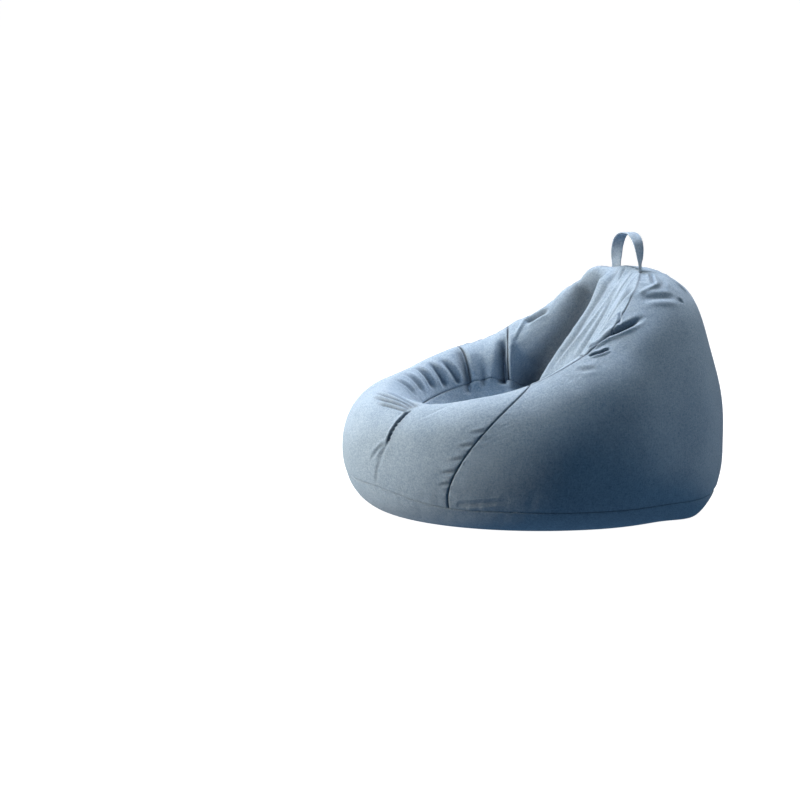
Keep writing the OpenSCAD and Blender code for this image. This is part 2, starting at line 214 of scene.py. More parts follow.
def fold(points, normals, path, depth, width, lips=(0, 0), ends=(0.3, 0.3), sharp=2.0, shade=0.25):
    """Height of a fold at the given points, and how far the cloth's colour is darkened in it as painted
    shade.
    depth and width are in millimetres, and depth is negative for a ridge. width may be a pair, and lips are
    the heights of the swellings, for the left and the right of the line as it is walked with the outer face
    upward. ends are the shares of the line over which the fold dies out."""
    uv = smooth_path(path)
    line = body_surface(uv[:, 0], uv[:, 1])
    height, dark = np.zeros(len(points)), np.zeros(len(points))
    left_w, right_w = np.broadcast_to(width, 2) / 1000
    reach = max(left_w, right_w) * (4.5 if any(lips) else 2.8)
    low, high = line.min(0) - reach, line.max(0) + reach
    chosen = np.where(np.all((points > low) & (points < high), axis=1))[0]
    step = np.diff(line, axis=0)
    size = np.linalg.norm(step, axis=1)
    along = np.concatenate([[0], np.cumsum(size)])
    for start in range(0, len(chosen), POINTS_AT_ONCE):
        k = chosen[start:start + POINTS_AT_ONCE]
        p = points[k]
        j = np.argmin(((p[:, None] - line[None]) ** 2).sum(-1), axis=1)
        best = np.full(len(k), np.inf)
        place, side = np.zeros(len(k)), np.zeros(len(k))
        for seg in (np.clip(j - 1, 0, len(step) - 1), np.clip(j, 0, len(step) - 1)):
            rel = p - line[seg]
            s = np.clip((rel * step[seg]).sum(-1) / size[seg] ** 2, 0, 1)
            gap = rel - s[:, None] * step[seg]
            distance = np.linalg.norm(gap, axis=1)
            better = distance < best
            best = np.where(better, distance, best)
            place = np.where(better, (along[seg] + s * size[seg]) / along[-1], place)
            left = np.cross(normals[k], step[seg])
            side = np.where(better, np.sign((left * gap).sum(-1)), side)
        taper = ease(place / max(ends[0], 1e-3)) * ease((1 - place) / max(ends[1], 1e-3))
        w = np.where(side > 0, left_w, right_w)
        h = -depth * np.exp(-(best / w) ** sharp)
        # painted shade: the colour is darkened along the fold's hollow, where shade falls
        if depth > 0:
            dark[k] = shade * taper * np.exp(-(best / (1.1 * w)) ** 2)
        for lip, way in zip(lips, (1, -1)):
            if lip:
                h = h + lip * np.exp(-((side * way * best - 1.8 * w) / (0.95 * w)) ** 2) * (best < 4.5 * w)
        height[k] = h / 1000 * taper
    return height, dark


# Each row has the line's (u, t) places, depth, width, lips and ends, and if need be sharp and shade (painted
# shade: how far the colour is darkened in the fold)
FOLDS = [
    # The dimple in the front lip, and the soft creases that run down from it
    ([(35.5, 2.77), (39, 2.58), (42.5, 2.4), (45.5, 2.25), (46.5, 2.18)],
      12, (2.8, 3.4), (2, 4), (0.15, 0.3), 1.6, 1),
    ([(45, 2.28), (46.5, 2.1), (48, 1.97)], 3, 6, (1.5, 1), (0.3, 0.6)),
    ([(44.5, 2.27), (42, 2.13), (40.5, 1.98)], 2.5, 4.5, (1, 1.5), (0.3, 0.6)),
    ([(47, 2.06), (47, 1.8)], 1.8, 4, (0, 0), (0.2, 0.2)),
    # Compression folds round the hollow's front corner
    ([(-14, 2.93), (2, 2.99), (20, 2.99), (36, 2.83)], 5.5, 5, (2, 2), (0.35, 0.1), 2, 0.6),
    ([(-12, 2.82), (6, 2.88), (21, 2.91), (36, 2.79)], 5.5, 5, (2, 2), (0.35, 0.1), 2, 0.6),
    ([(-4, 2.74), (10, 2.79), (24, 2.82), (36, 2.75)], 4.5, 4.5, (1.5, 1.5), (0.35, 0.1), 2, 0.6),
    ([(10, 2.68), (22, 2.73), (36, 2.72)], 4, 4, (1.5, 1.5), (0.35, 0.1), 2, 0.5),
    ([(-10, 3.08), (8, 3.1), (26, 3.08), (42, 2.93)], 5.5, 6, (2, 2), (0.35, 0.2), 2, 0.6),
    ([(-16, 3.19), (4, 3.22), (30, 3.2), (46, 3.1)], 6, 7, (2, 2), (0.35, 0.2), 2, 0.5),
    # Short folds across the far side of the front lip
    ([(-30, 3.0), (-30, 3.34)], 5, 8, (2, 2), (0.4, 0.3)),
    ([(-42, 3.0), (-41, 3.36)], 6, 8, (3, 2), (0.4, 0.3), 2, 0.3),
    ([(-52, 3.0), (-52, 3.37)], 7.5, 7, (4, 2), (0.4, 0.25), 2, 0.35),
    ([(-59.5, 3.04), (-62, 3.4)], 8, 7, (4, 2), (0.4, 0.2), 2, 0.35),
    ([(-66, 3.1), (-72, 3.42)], 8, 7, (4, 2), (0.4, 0.15), 2, 0.35),
    # The far arm's inner wall
    ([(-103.5, 3.1), (-103, 3.3), (-102, 3.52)], 17, (5, 15), (0, 3), (0.4, 0.1), 2, 0.6),
    ([(-106.5, 3.05), (-106.8, 3.3), (-107, 3.55)], -6, (10, 5), (0, 0), (0.3, 0.1)),
    ([(-82.5, 3.05), (-82.5, 3.3), (-82, 3.5)], -4, (12, 5), (0, 0), (0.3, 0.1)),
    ([(-78.5, 3.02), (-78.5, 3.3), (-78, 3.52)], 7, (4, 12), (0, 0), (0.3, 0.1), 2, 0.55),
    ([(-90, 3.3), (-88, 3.5)], 3, 9, (1, 1), (0.5, 0.2)),
    # The inner back: a deep valley, with long ridges beside it that fan down from the loop
    ([(-153, 3.0), (-154, 3.16), (-152.5, 3.275), (-146, 3.35), (-137, 3.415), (-127, 3.475), (-117, 3.535),
      (-108, 3.6)], 52, (27, 44), (0, 8), (0.16, 0.16), 2, 0.7),
    ([(-143, 3.0), (-144, 3.18), (-139, 3.3), (-131, 3.37), (-121, 3.43), (-112, 3.5)],
      7, 26, (0, 0), (0.1, 0.2), 2, 0.62),
    ([(-129, 3.16), (-121, 3.127), (-114, 3.13)], 9, 7, (3, 4), (0.4, 0.3), 2, 0.5),
    ([(-117, 3.04), (-112, 3.145), (-108, 3.25)], -5, (6, 4), (0, 0), (0.3, 0.4)),
    ([(-167, 3.08), (-163, 3.22), (-160.5, 3.29), (-157, 3.39), (-146, 3.48), (-133, 3.55), (-121, 3.61)],
      -17, (44, 8), (0, 0), (0.12, 0.15), 1.7),
    ([(-171.5, 3.04), (-171, 3.24), (-167, 3.34), (-161, 3.44), (-150, 3.52), (-138, 3.59)],
      4, 8, (0, 0), (0.12, 0.3)),
    ([(-179.5, 3.05), (-181, 3.23), (-175.5, 3.34), (-168, 3.43), (-157, 3.5), (-144, 3.57)],
      -5, 6, (0, 0), (0.2, 0.3), 1.5),
    ([(-174.5, 3.03), (-177.5, 3.12), (-179, 3.2)], 5, 6, (2, 1), (0.2, 0.5)),
    ([(-191, 3.03), (-193, 3.16), (-190, 3.3)], 7, 7, (4, 3), (0.15, 0.5)),
    ([(-199, 3.05), (-207, 3.12), (-212, 3.22)], 6, 7, (3, 3), (0.2, 0.4)),
    ([(-184, 3.2), (-183, 3.36), (-174, 3.5), (-163, 3.58)], 4, 7, (2, 2), (0.3, 0.4)),
    ([(-203, 3.25), (-204, 3.4), (-196, 3.55)], 5, 8, (3, 3), (0.3, 0.4)),
    ([(-213, 3.03), (-218, 3.18), (-217, 3.36), (-208, 3.55)], 9, 12, (4, 5), (0.15, 0.25)),
    ([(-228, 3.13), (-232, 3.22), (-232, 3.4), (-226, 3.58)], 8, 12, (3, 4), (0.3, 0.3)),
    ([(103, 3.02), (112, 3.1), (120, 3.14), (128, 3.1), (134, 3.05)], -7, 6, (0, 0), (0.3, 0.3), 1.5),
    # The left shoulder: a deep pocket over the side, a slit in front of it, and wrinkles behind
    ([(107.5, 3.1), (111.5, 3.075), (116.8, 3.04), (120.5, 2.99), (125, 2.945), (129.5, 2.905),
      (134.5, 2.866)], 30, (6.5, 7), (3, 7), (0.12, 0.45), 1.6, 1),
    ([(106, 2.975), (111, 2.935), (116, 2.91)], 12, 3.6, (3, 4), (0.3, 0.25), 1.6, 1),
    ([(133, 3.09), (127.5, 3.01), (124.5, 2.985)], 5, 3.4, (1, 1), (0.3, 0.2)),
    ([(136.5, 2.95), (141.2, 2.9), (144.5, 2.843), (148.5, 2.77), (151, 2.71)],
      4.5, (9, 10), (2, 3), (0.4, 0.4), 2, 0.1),
    ([(156, 2.875), (151, 2.872), (147.5, 2.855)], 3.5, 8, (2, 2), (0.4, 0.5), 2, 0.1),
    ([(161, 2.96), (153, 2.94), (148, 2.917)], 7, 4, (3, 2), (0.3, 0.3)),
    ([(138.5, 2.99), (144.8, 2.942), (149.8, 2.897), (155, 2.884)], -5, 5.5, (0, 0), (0.3, 0.3)),
    ([(150, 2.735), (152, 2.68)], 5, 5, (1, 1), (0.4, 0.4)),
    ([(162, 2.84), (160, 2.74), (160, 2.64)], 5, 7, (2, 2), (0.4, 0.5)),
    ([(170, 2.97), (166, 2.88), (165, 2.78)], 4, 6, (2, 2), (0.3, 0.4)),
    ([(99, 2.9), (110, 2.79)], 2, 7, (1, 1), (0.4, 0.4)),
    # The right shoulder, which the loop's pull wrinkles in the same way
    ([(-127, 3.05), (-134, 2.95), (-143, 2.86)], 9, 8, (4, 3), (0.3, 0.35)),
    ([(-145, 2.96), (-149, 2.9), (-151, 2.8)], 7, 7, (3, 3), (0.3, 0.35)),
    ([(-158, 2.98), (-155, 2.9), (-155, 2.78)], 6, 7, (3, 3), (0.3, 0.4)),
    ([(-168, 2.98), (-166, 2.88), (-167, 2.76)], 4, 6, (2, 2), (0.3, 0.4)),
    # Puckers on the front panel's side of the front seams, and low folds beside the base seam
    *(([(80, t), (end_u, end_t)], depth, 4, (1.5, 1.5), (0.05, 0.6)) for t, end_u, end_t, depth in
      [(2.43, 75, 2.41, 2), (2.3, 75, 2.27, 2), (2.16, 75, 2.13, 1.6), (2.03, 75, 2.0, 2.2),
       (1.9, 76, 1.87, 1.6)]),
    ([(82, 1.66), (92, 1.71), (98, 1.74)], 1.2, 6, (1, 1), (0.1, 0.6), 2, 0.1),
]

# Broad swellings and hollows: u, t, height and radius in millimetres
SWELLS = [
    (-111, 3.0, 9, 36), (-93, 3.0, -5, 50), (-151, 3.02, 19, 46), (-168, 3.02, 6, 40), (-140, 3.25, -6, 60),
    (172, 2.83, -15, 34), (165, 2.38, -12, 95), (150, 1.2, 19, 100), (-152, 1.3, 6, 90), (-165, 2.4, -8, 95),
    (0, 3.97, -45, 170), (128, 2.78, 6, 60), (100, 2.8, 4, 90), (60, 2.9, 4, 70), (20, 2.3, 4, 110),
    (-30, 2.3, 4, 120),
]


def swell(points, u, t, height, radius):
    centre = body_surface(np.array([float(u)]), np.array([float(t)]))[0]
    return height / 1000 * np.exp(-(((points - centre) / (radius / 1000)) ** 2).sum(-1))


def waves(points, wavelength, seed, count=9):
    """Seeded smooth noise of about unit size, from waves in all directions."""
    rng = np.random.default_rng(seed)
    way = rng.normal(size=(count, 3))
    way *= (2 * math.pi / wavelength * rng.uniform(0.7, 1.4, count) / np.linalg.norm(way, axis=1))[:, None]
    return np.sin(points @ way.T + rng.uniform(0, 6.28, count)).sum(-1) / math.sqrt(count / 2)


def relief(points, normals):
    """Height of all the folds and swellings at points of the smooth body, and the painted shade in the folds.
    """
    creases, dark = 0.0012 * waves(points, 0.2, 3), np.zeros(len(points))
    for f in FOLDS:
        height, shade = fold(points, normals, *f)
        creases += height
        # painted shade: the darkest fold colour at each point is kept
        dark = np.maximum(dark, shade)
    broad_shape = sum(swell(points, *s) for s in SWELLS)
    z = points[:, 2]        # both die out toward the floor
    return broad_shape * ease(z / 0.016) + creases * ease((z - 0.004) / 0.05), dark


def relief_grid(uu, tt):
    """Smooth points, their normals, and the relief and the painted shade of its folds, for grids of u and t.
    """
    smooth, normal = body_surface(uu, tt), outward(uu, tt)
    height, dark = relief(smooth.reshape(-1, 3), normal.reshape(-1, 3))
    return smooth, normal, height.reshape(uu.shape), dark.reshape(uu.shape)


def grid_faces(columns, rows, round_it=False):
    """Faces of a grid of points that are numbered along its columns. It may close on itself."""
    i, j = np.meshgrid(np.arange(columns if round_it else columns - 1), np.arange(rows - 1), indexing="ij")
    a, b = (i * rows + j).ravel(), (((i + 1) % columns) * rows + j).ravel()
    return [tuple(f) for f in np.stack([a, b, b + 1, a + 1], -1)]


def closed_faces(columns, rows):
    """Faces of a round grid whose two ends close on two extra points, numbered after it."""
    faces, n = grid_faces(columns, rows, True), columns * rows
    for i in range(columns):
        a, b = i * rows, (i + 1) % columns * rows
        faces += [(b, a, n), (a + rows - 1, b + rows - 1, n + 1)]
    return faces


def tube_faces(rings, size):
    """Faces of a tube of rings, each of so many points, with flat ends."""
    i, j = np.meshgrid(np.arange(rings - 1), np.arange(size), indexing="ij")
    a, b = i * size + j, i * size + (j + 1) % size
    sides = np.stack([a, a + size, b + size, b], -1).reshape(-1, 4)
    ends = [tuple(range(size)), tuple(range((rings - 1) * size, rings * size))[::-1]]
    return [tuple(f) for f in sides] + ends


def mesh_object(name, points, faces, uvs=None):
    mesh = bpy.data.meshes.new(name)
    mesh.from_pydata([tuple(p) for p in points], [], [tuple(f) for f in faces])
    mesh.update()
    if uvs is not None:
        layer = mesh.uv_layers.new(name="metres")
        loops = np.zeros(len(mesh.loops), int)
        mesh.loops.foreach_get("vertex_index", loops)
        layer.data.foreach_set("uv", np.asarray(uvs)[loops].ravel())
    piece = bpy.data.objects.new(name, mesh)
    scene.collection.objects.link(piece)
    mesh.shade_smooth()
    return piece


def finish_piece(piece, material, body, *nodes):
    """Gives a piece its material, the CAD parts that it replaces and the body that it rides on."""
    solid = bmesh.new()
    solid.from_mesh(piece.data)
    if solid.calc_volume(signed=True) < 0:      # its faces point inward
        piece.data.flip_normals()
    solid.free()
    piece.data.materials.append(material)
    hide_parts(*nodes)
    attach(piece, body)


# ---- Cloth simulation: the filling presses the cloth out between the seams that hold it ----
SIM_COLUMNS, SIM_ROWS, SIM_FRAMES, SIM_CAP, SIM_SLACK = 220, 96, 20, 0.0035, 0.004
SIM_U = np.linspace(-180, 180, SIM_COLUMNS + 1)[:-1]
SIM_T = np.linspace(FLOOR_T, CLOSED_T, SIM_ROWS)


def sewn_down(u, t):
    """1 at places of the cover that a seam or the floor holds, and 0 elsewhere."""
    size = np.abs(u)
    over_seat = (t > T_BASE) & (t < seat_seam_t(u))
    held = (t < 1.3) | (np.abs(t - 3) < 0.03) | (np.abs(t - base_seam_t(u)) < 0.03)
    held |= (np.abs(t - seat_seam_t(u)) < 0.03) | (over_seat & (np.abs(size - FRONT_SEAM) < 1))
    held |= (t > 3) & over_seat & (np.abs(size - ARM_SEAM) < 1)
    return held


def simulate_cloth():
    """Rise of the cloth over its starting shape on a grid of places, as the filling presses it out."""
    uu, tt = np.meshgrid(SIM_U, SIM_T, indexing="ij")
    smooth, normal, height = relief_grid(uu, tt)[:3]
    start = smooth + normal * height[..., None]
    n = uu.size
    ends = [[0, 0, 0], [0, SEAT_Y, start[:, -1, 2].mean()]]
    points = np.concatenate([start.reshape(-1, 3), ends])
    bag = mesh_object("cloth_simulation", points, closed_faces(SIM_COLUMNS, SIM_ROWS))
    pins = bag.vertex_groups.new(name="sewn")
    pins.add([int(k) for k in np.where(sewn_down(uu, tt).ravel())[0]] + [n, n + 1], 1, "REPLACE")
    cloth = bag.modifiers.new("cloth", "CLOTH").settings
    cloth.quality, cloth.mass, cloth.vertex_group_mass = 6, 0.3, "sewn"
    cloth.tension_stiffness = cloth.compression_stiffness = 15
    cloth.shear_stiffness, cloth.bending_stiffness = 8, 0.6
    cloth.use_pressure, cloth.uniform_pressure_force = True, 4
    cloth.shrink_min = -SIM_SLACK
    cloth.effector_weights.gravity = 0
    scene.frame_start, scene.frame_end = 1, SIM_FRAMES
    for number in range(1, SIM_FRAMES + 1):
        scene.frame_set(number)
    settled = bag.evaluated_get(bpy.context.evaluated_depsgraph_get()).data
    ended = np.empty(3 * len(settled.vertices))
    settled.vertices.foreach_get("co", ended)
    bpy.data.objects.remove(bag)
    scene.frame_set(1)
    return ((ended.reshape(-1, 3)[:n].reshape(start.shape) - start) * normal).sum(-1)


def broad(field, reach):
    """A field averaged over about reach cells each way. It runs round in its first direction."""
    kernel = np.hanning(2 * reach + 1)
    kernel /= kernel.sum()
    wide = np.pad(field, ((reach, reach), (0, 0)), mode="wrap")
    wide = np.pad(wide, ((0, 0), (reach, reach)), mode="edge")
    along = np.apply_along_axis(np.convolve, 0, wide, kernel, "valid")
    return np.apply_along_axis(np.convolve, 1, along, kernel, "valid")


# The chair's shape already has the broad swelling, so only what is finer than that is kept
rise = simulate_cloth()
print("simulated rise, mm:", *np.round([rise.min() * 1000, rise.max() * 1000], 1))
rise = np.clip(rise - broad(rise, 9), -SIM_CAP, SIM_CAP)
side_panels = (np.abs(SIM_U[:, None]) > FRONT_SEAM) & (SIM_T[None] < 2.8)
rise = rise * np.where(side_panels, 0.3, 0.6)
print("kept rise, mm:", *np.round([rise.min() * 1000, rise.max() * 1000, rise.std() * 1000], 2))


def settled_rise(u, t):
    """The simulation's rise at any places, from its grid."""
    x = (u + 180) / 360 % 1 * SIM_COLUMNS
    y = np.clip((t - FLOOR_T) / (CLOSED_T - FLOOR_T) * (SIM_ROWS - 1), 0, SIM_ROWS - 1.001)
    i, j = x.astype(int), y.astype(int)
    a, b = ease(x - i), ease(y - j)
    i, k = i % SIM_COLUMNS, (i + 1) % SIM_COLUMNS
    low, high = (rise[i, m] * (1 - a) + rise[k, m] * a for m in (j, j + 1))
    return low * (1 - b) + high * b


# ---- Cover panels ----
def marks(length, step):
    """Shares of a length, a step apart, with much closer ones at both ends where the seams turn in."""
    ends, size = [0.0], 0.0005
    while size < step and ends[-1] < length * 0.3:
        ends.append(ends[-1] + size)
        size *= 1.35
    middle = np.linspace(ends[-1], length - ends[-1], max(2, round((length - 2 * ends[-1]) / step)))
    return np.concatenate([ends[:-1], middle, length - np.array(ends[:-1])[::-1]]) / length


PANELS = {
    "front_panel": (-FRONT_SEAM, FRONT_SEAM, "base", "seat"),
    "side_panel_left": (FRONT_SEAM, 180, "base", "crest"),
    "side_panel_right": (-180, -FRONT_SEAM, "base", "crest"),
    "arm_panel_left": (FRONT_SEAM, ARM_SEAM, "crest", "seat"),
    "arm_panel_right": (-ARM_SEAM, -FRONT_SEAM, "crest", "seat"),
    "inner_back_panel": (ARM_SEAM, 360 - ARM_SEAM, "crest", "seat"),
    "seat_panel": (-180, 180, "seat", "middle"),
    "base_panel": (-180, 180, "floor", "base"),
}
EDGES = {"floor": lambda u: 0 * u + FLOOR_T, "base": base_seam_t, "crest": lambda u: 0 * u + 3,
         "seat": seat_seam_t, "middle": lambda u: 0 * u + CLOSED_T}
GROOVES = {"base": (0.0020, 0.0032), "crest": (0.0042, 0.0048)}
GROOVE = (0.0052, 0.0054)
# Painted shade along each seam: how far the cloth's colour is darkened beside its groove
SEAM_SHADE = {"base": 0.12, "crest": 0.4, "seat": 0.2}
GATHERS = {"base": 0.0006, "crest": 0.0011, "seat": 0.0012}
GATHER = 0.0007


def slot_share(u):
    """1 where the cover opens over the zip, and 0 elsewhere."""
    return ease((np.abs(wrapped(u)) - 153) / 2)


def arc(points, axis):
    """Length along each grid line of points, from its start."""
    step = np.linalg.norm(np.diff(points, axis=axis), axis=-1)
    first = np.zeros_like(np.take(step, [0], axis=axis))
    return np.concatenate([first, np.cumsum(step, axis=axis)], axis=axis)


def seam_turn(distance, depth, width):
    """How deep a panel's edge turns in at a seam."""
    k = np.clip(1 - distance / width, 0, 1)
    return depth * (1 - np.sqrt(1 - k * k))


def puckers(distance, along, seed, height, reach):
    """Small gathers that run away from a seam."""
    rng = np.random.default_rng(seed)
    wave = sum(np.sin(along * 2 * math.pi / size + phase)
               for size, phase in zip(rng.uniform(0.013, 0.034, 5), rng.uniform(0, 6.28, 5))) / 2
    patch = 0.55 + 0.45 * np.sin(along * 2 * math.pi / 0.23 + rng.uniform(0, 6.28))
    return height * wave * patch * np.exp(-distance / reach) * (1 - np.exp(-distance / 0.003))


def panel_grid(name, step):
    u0, u1, low, high = PANELS[name]
    round_it = u1 - u0 == 360
    middle = np.linspace(u0, u1, 60)
    level = 0.45 * EDGES[low](middle) + 0.55 * EDGES[high](middle)
    if low == "base" and high != "floor":
        level = 0 * middle + 2.1
    wide = arc(body_surface(middle, np.maximum(level, EDGES[low](middle))), 0)[-1]
    half_way = np.array([(u0 + u1) / 2])
    t = np.linspace(EDGES[low](half_way)[0], EDGES[high](half_way)[0], 60)
    tall = arc(body_surface(0 * t + half_way, t), 0)[-1]
    if round_it:
        us = np.linspace(u0, u1, round((1.9 if name == "base_panel" else 1.1) / step) + 1)[:-1]
    else:
        us = u0 + (u1 - u0) * marks(wide, step)
    v = marks(tall, step)
    uu, vv = np.meshgrid(us, v, indexing="ij")
    bottom, top = EDGES[low](uu), EDGES[high](uu)
    if low == "base":
        bottom = bottom + ZIP_SLOT_T * slot_share(uu)
    if high == "base":
        top = top - ZIP_SLOT_T * slot_share(uu)
    return uu, bottom + (top - bottom) * vv, round_it


def cover_shape(name, step):
    """Outer points of a panel with its folds, seams and puckers, the painted shade in its folds and along its
    seams, and its outward normals.
    """
    uu, tt, round_it = panel_grid(name, step)
    smooth, normal, height, dark = relief_grid(uu, tt)
    height = height + settled_rise(uu, tt)
    u0, u1, low, high = PANELS[name]
    up, across = arc(smooth, 1), arc(smooth, 0)
    from_low, from_high = up, up[:, -1:] - up
    turn = np.zeros_like(uu)
    gathers = np.zeros_like(uu)
    seams = []
    if low != "floor":
        seams.append((from_low, across[:, :1] + u0 * 0.01, low))
    if high != "middle":
        seams.append((from_high, across[:, -1:] + u0 * 0.01, high))
    if not round_it:
        seams.append((across, up[:1], f"u{u0 % 360:.0f}"))
        seams.append((across[-1:] - across, up[-1:], f"u{u1 % 360:.0f}"))
    for distance, along, seam in seams:
        groove = seam_turn(distance, *GROOVES.get(seam, GROOVE))
        if seam == "crest":     # the cloth is pulled flat over the seam near the loop
            groove = groove * (1 - 0.75 * ease((np.abs(wrapped(uu)) - 128) / 12))
        turn = np.maximum(turn, groove)
        # painted shade: the colour is darkened along each seam's groove, where shade falls
        seam_painted_shade = SEAM_SHADE.get(seam, 0.45 + 0.4 * (tt > 3.05))
        dark = np.maximum(dark, seam_painted_shade * np.exp(-(distance / 0.0034) ** 2))
        seed, size = sum(map(ord, seam)), GATHERS.get(seam, GATHER)
        gathers += puckers(distance, along + 0 * distance, seed, size, 0.016)
    height = height - turn + gathers * ease((smooth[..., 2] - 0.004) / 0.05)
    points = smooth + normal * height[..., None]
    points[..., 2] = np.maximum(points[..., 2], 0)
    return points, normal, dark, round_it


def every_second(count, round_it):
    """Numbers of the grid lines that the inner face of a skin keeps."""
    kept = list(range(0, count, 2))
    if not round_it and kept[-1] != count - 1:
        kept.append(count - 1)
    return kept


def skin(name, outer, normal, thick, round_it, centre=None, centre_at_end=False):
    """A sheet with thickness, from a grid of its outer points. Its inner face keeps every second grid line.
    centre is a point that shuts one end, and its partner on the inner face."""
    columns, rows = outer.shape[:2]
    us, ts = every_second(columns, round_it), every_second(rows, False)
    m, n = len(ts), columns * rows
    inner = (outer - normal * thick)[np.ix_(us, ts)]
    faces = grid_faces(columns, rows, round_it)
    faces += [tuple(k + n for k in f[::-1]) for f in grid_faces(len(us), m, round_it)]
    points = np.concatenate([outer.reshape(-1, 3), inner.reshape(-1, 3)])
    metre_u = arc(outer, 0)
    metre_u = metre_u - metre_u[columns // 2]
    metres = np.stack([metre_u, arc(outer, 1)], -1)
    uvs = np.concatenate([metres.reshape(-1, 2), metres[np.ix_(us, ts)].reshape(-1, 2)])
    shut = None if centre is None else (rows - 1 if centre_at_end else 0)
    spans = list(zip(us, us[1:] + [columns])) if round_it else list(zip(us, us[1:]))
    for j, inner_j in ((0, 0), (rows - 1, m - 1)):
        for k, (i0, i1) in enumerate(spans):
            top = [i % columns * rows + j for i in range(i0, i1 + 1)]
            under = [n + (k + 1) % len(us) * m + inner_j, n + k * m + inner_j]
            if j != shut:
                faces.append(tuple(top + under)[::-1] if j == 0 else tuple(top + under))
    if not round_it:
        for i, inner_i in ((0, 0), (columns - 1, len(us) - 1)):
            for k, (j0, j1) in enumerate(zip(ts, ts[1:])):
                top = [i * rows + j for j in range(j0, j1 + 1)]
                under = [n + inner_i * m + k + 1, n + inner_i * m + k]
                faces.append(tuple(top + under) if i == 0 else tuple(top + under)[::-1])
    if centre is not None:
        points = np.concatenate([points, centre])
        uvs = np.concatenate([uvs, [[0, 0], [0, 0]]])
        middle = n + len(us) * m
        for i in range(columns):
            a, b = i * rows + shut, ((i + 1) % columns) * rows + shut
            faces.append((a, b, middle) if centre_at_end else (b, a, middle))
        for i in range(len(us)):
            a, b = n + i * m, n + (i + 1) % len(us) * m
            a, b = (a + m - 1, b + m - 1) if centre_at_end else (a, b)
            faces.append((b, a, middle + 1) if centre_at_end else (a, b, middle + 1))
    return mesh_object(name, points, faces, uvs)


# ---- Materials ----
BLACK, WHITE = (0, 0, 0, 1), (1, 1, 1, 1)


def new_material(name):
    made = bpy.data.materials.new(name)
    made.use_nodes = True
    return made, made.node_tree, made.node_tree.nodes["Principled BSDF"]


def node(tree, kind, values=None, **settings):
    made = tree.nodes.new(kind)
    for key, value in settings.items():
        setattr(made, key, value)
    for key, value in (values or {}).items():
        if isinstance(value, bpy.types.NodeSocket):
            tree.links.new(value, made.inputs[key])
        else:
            made.inputs[key].default_value = value
    return made


def maths(tree, operation, a, b=0.0):
    return node(tree, "ShaderNodeMath", {0: a, 1: b}, operation=operation).outputs[0]


def times(tree, a, b):
    return maths(tree, "MULTIPLY", a, b)


def plus(tree, a, b):
    return maths(tree, "ADD", a, b)


def stretched(tree, where, scale):
    return node(tree, "ShaderNodeVectorMath", {0: where, 1: scale}, operation="MULTIPLY").outputs[0]


def noise(tree, where, scale, detail, **values):
    return node(tree, "ShaderNodeTexNoise", {"Vector": where, "Scale": scale, "Detail": detail, **values})


def ramp(tree, value, low, high):
    """A colour from a number. low and high are each a place on the ramp and its colour."""
    made = node(tree, "ShaderNodeValToRGB", {0: value})
    for element, (place, colour) in zip(made.color_ramp.elements, (low, high)):
        element.position, element.color = place, colour
    return made.outputs[0]


def bump(tree, height, strength, distance, **values):
    values.update({"Height": height, "Strength": strength, "Distance": distance})
    return node(tree, "ShaderNodeBump", values).outputs[0]


def wire(tree, shader, **sockets):
    """Joins values to a shader's sockets. A socket's spaces are written as underscores."""
    for key, value in sockets.items():
        tree.links.new(value, shader.inputs[key.replace("_", " ")])


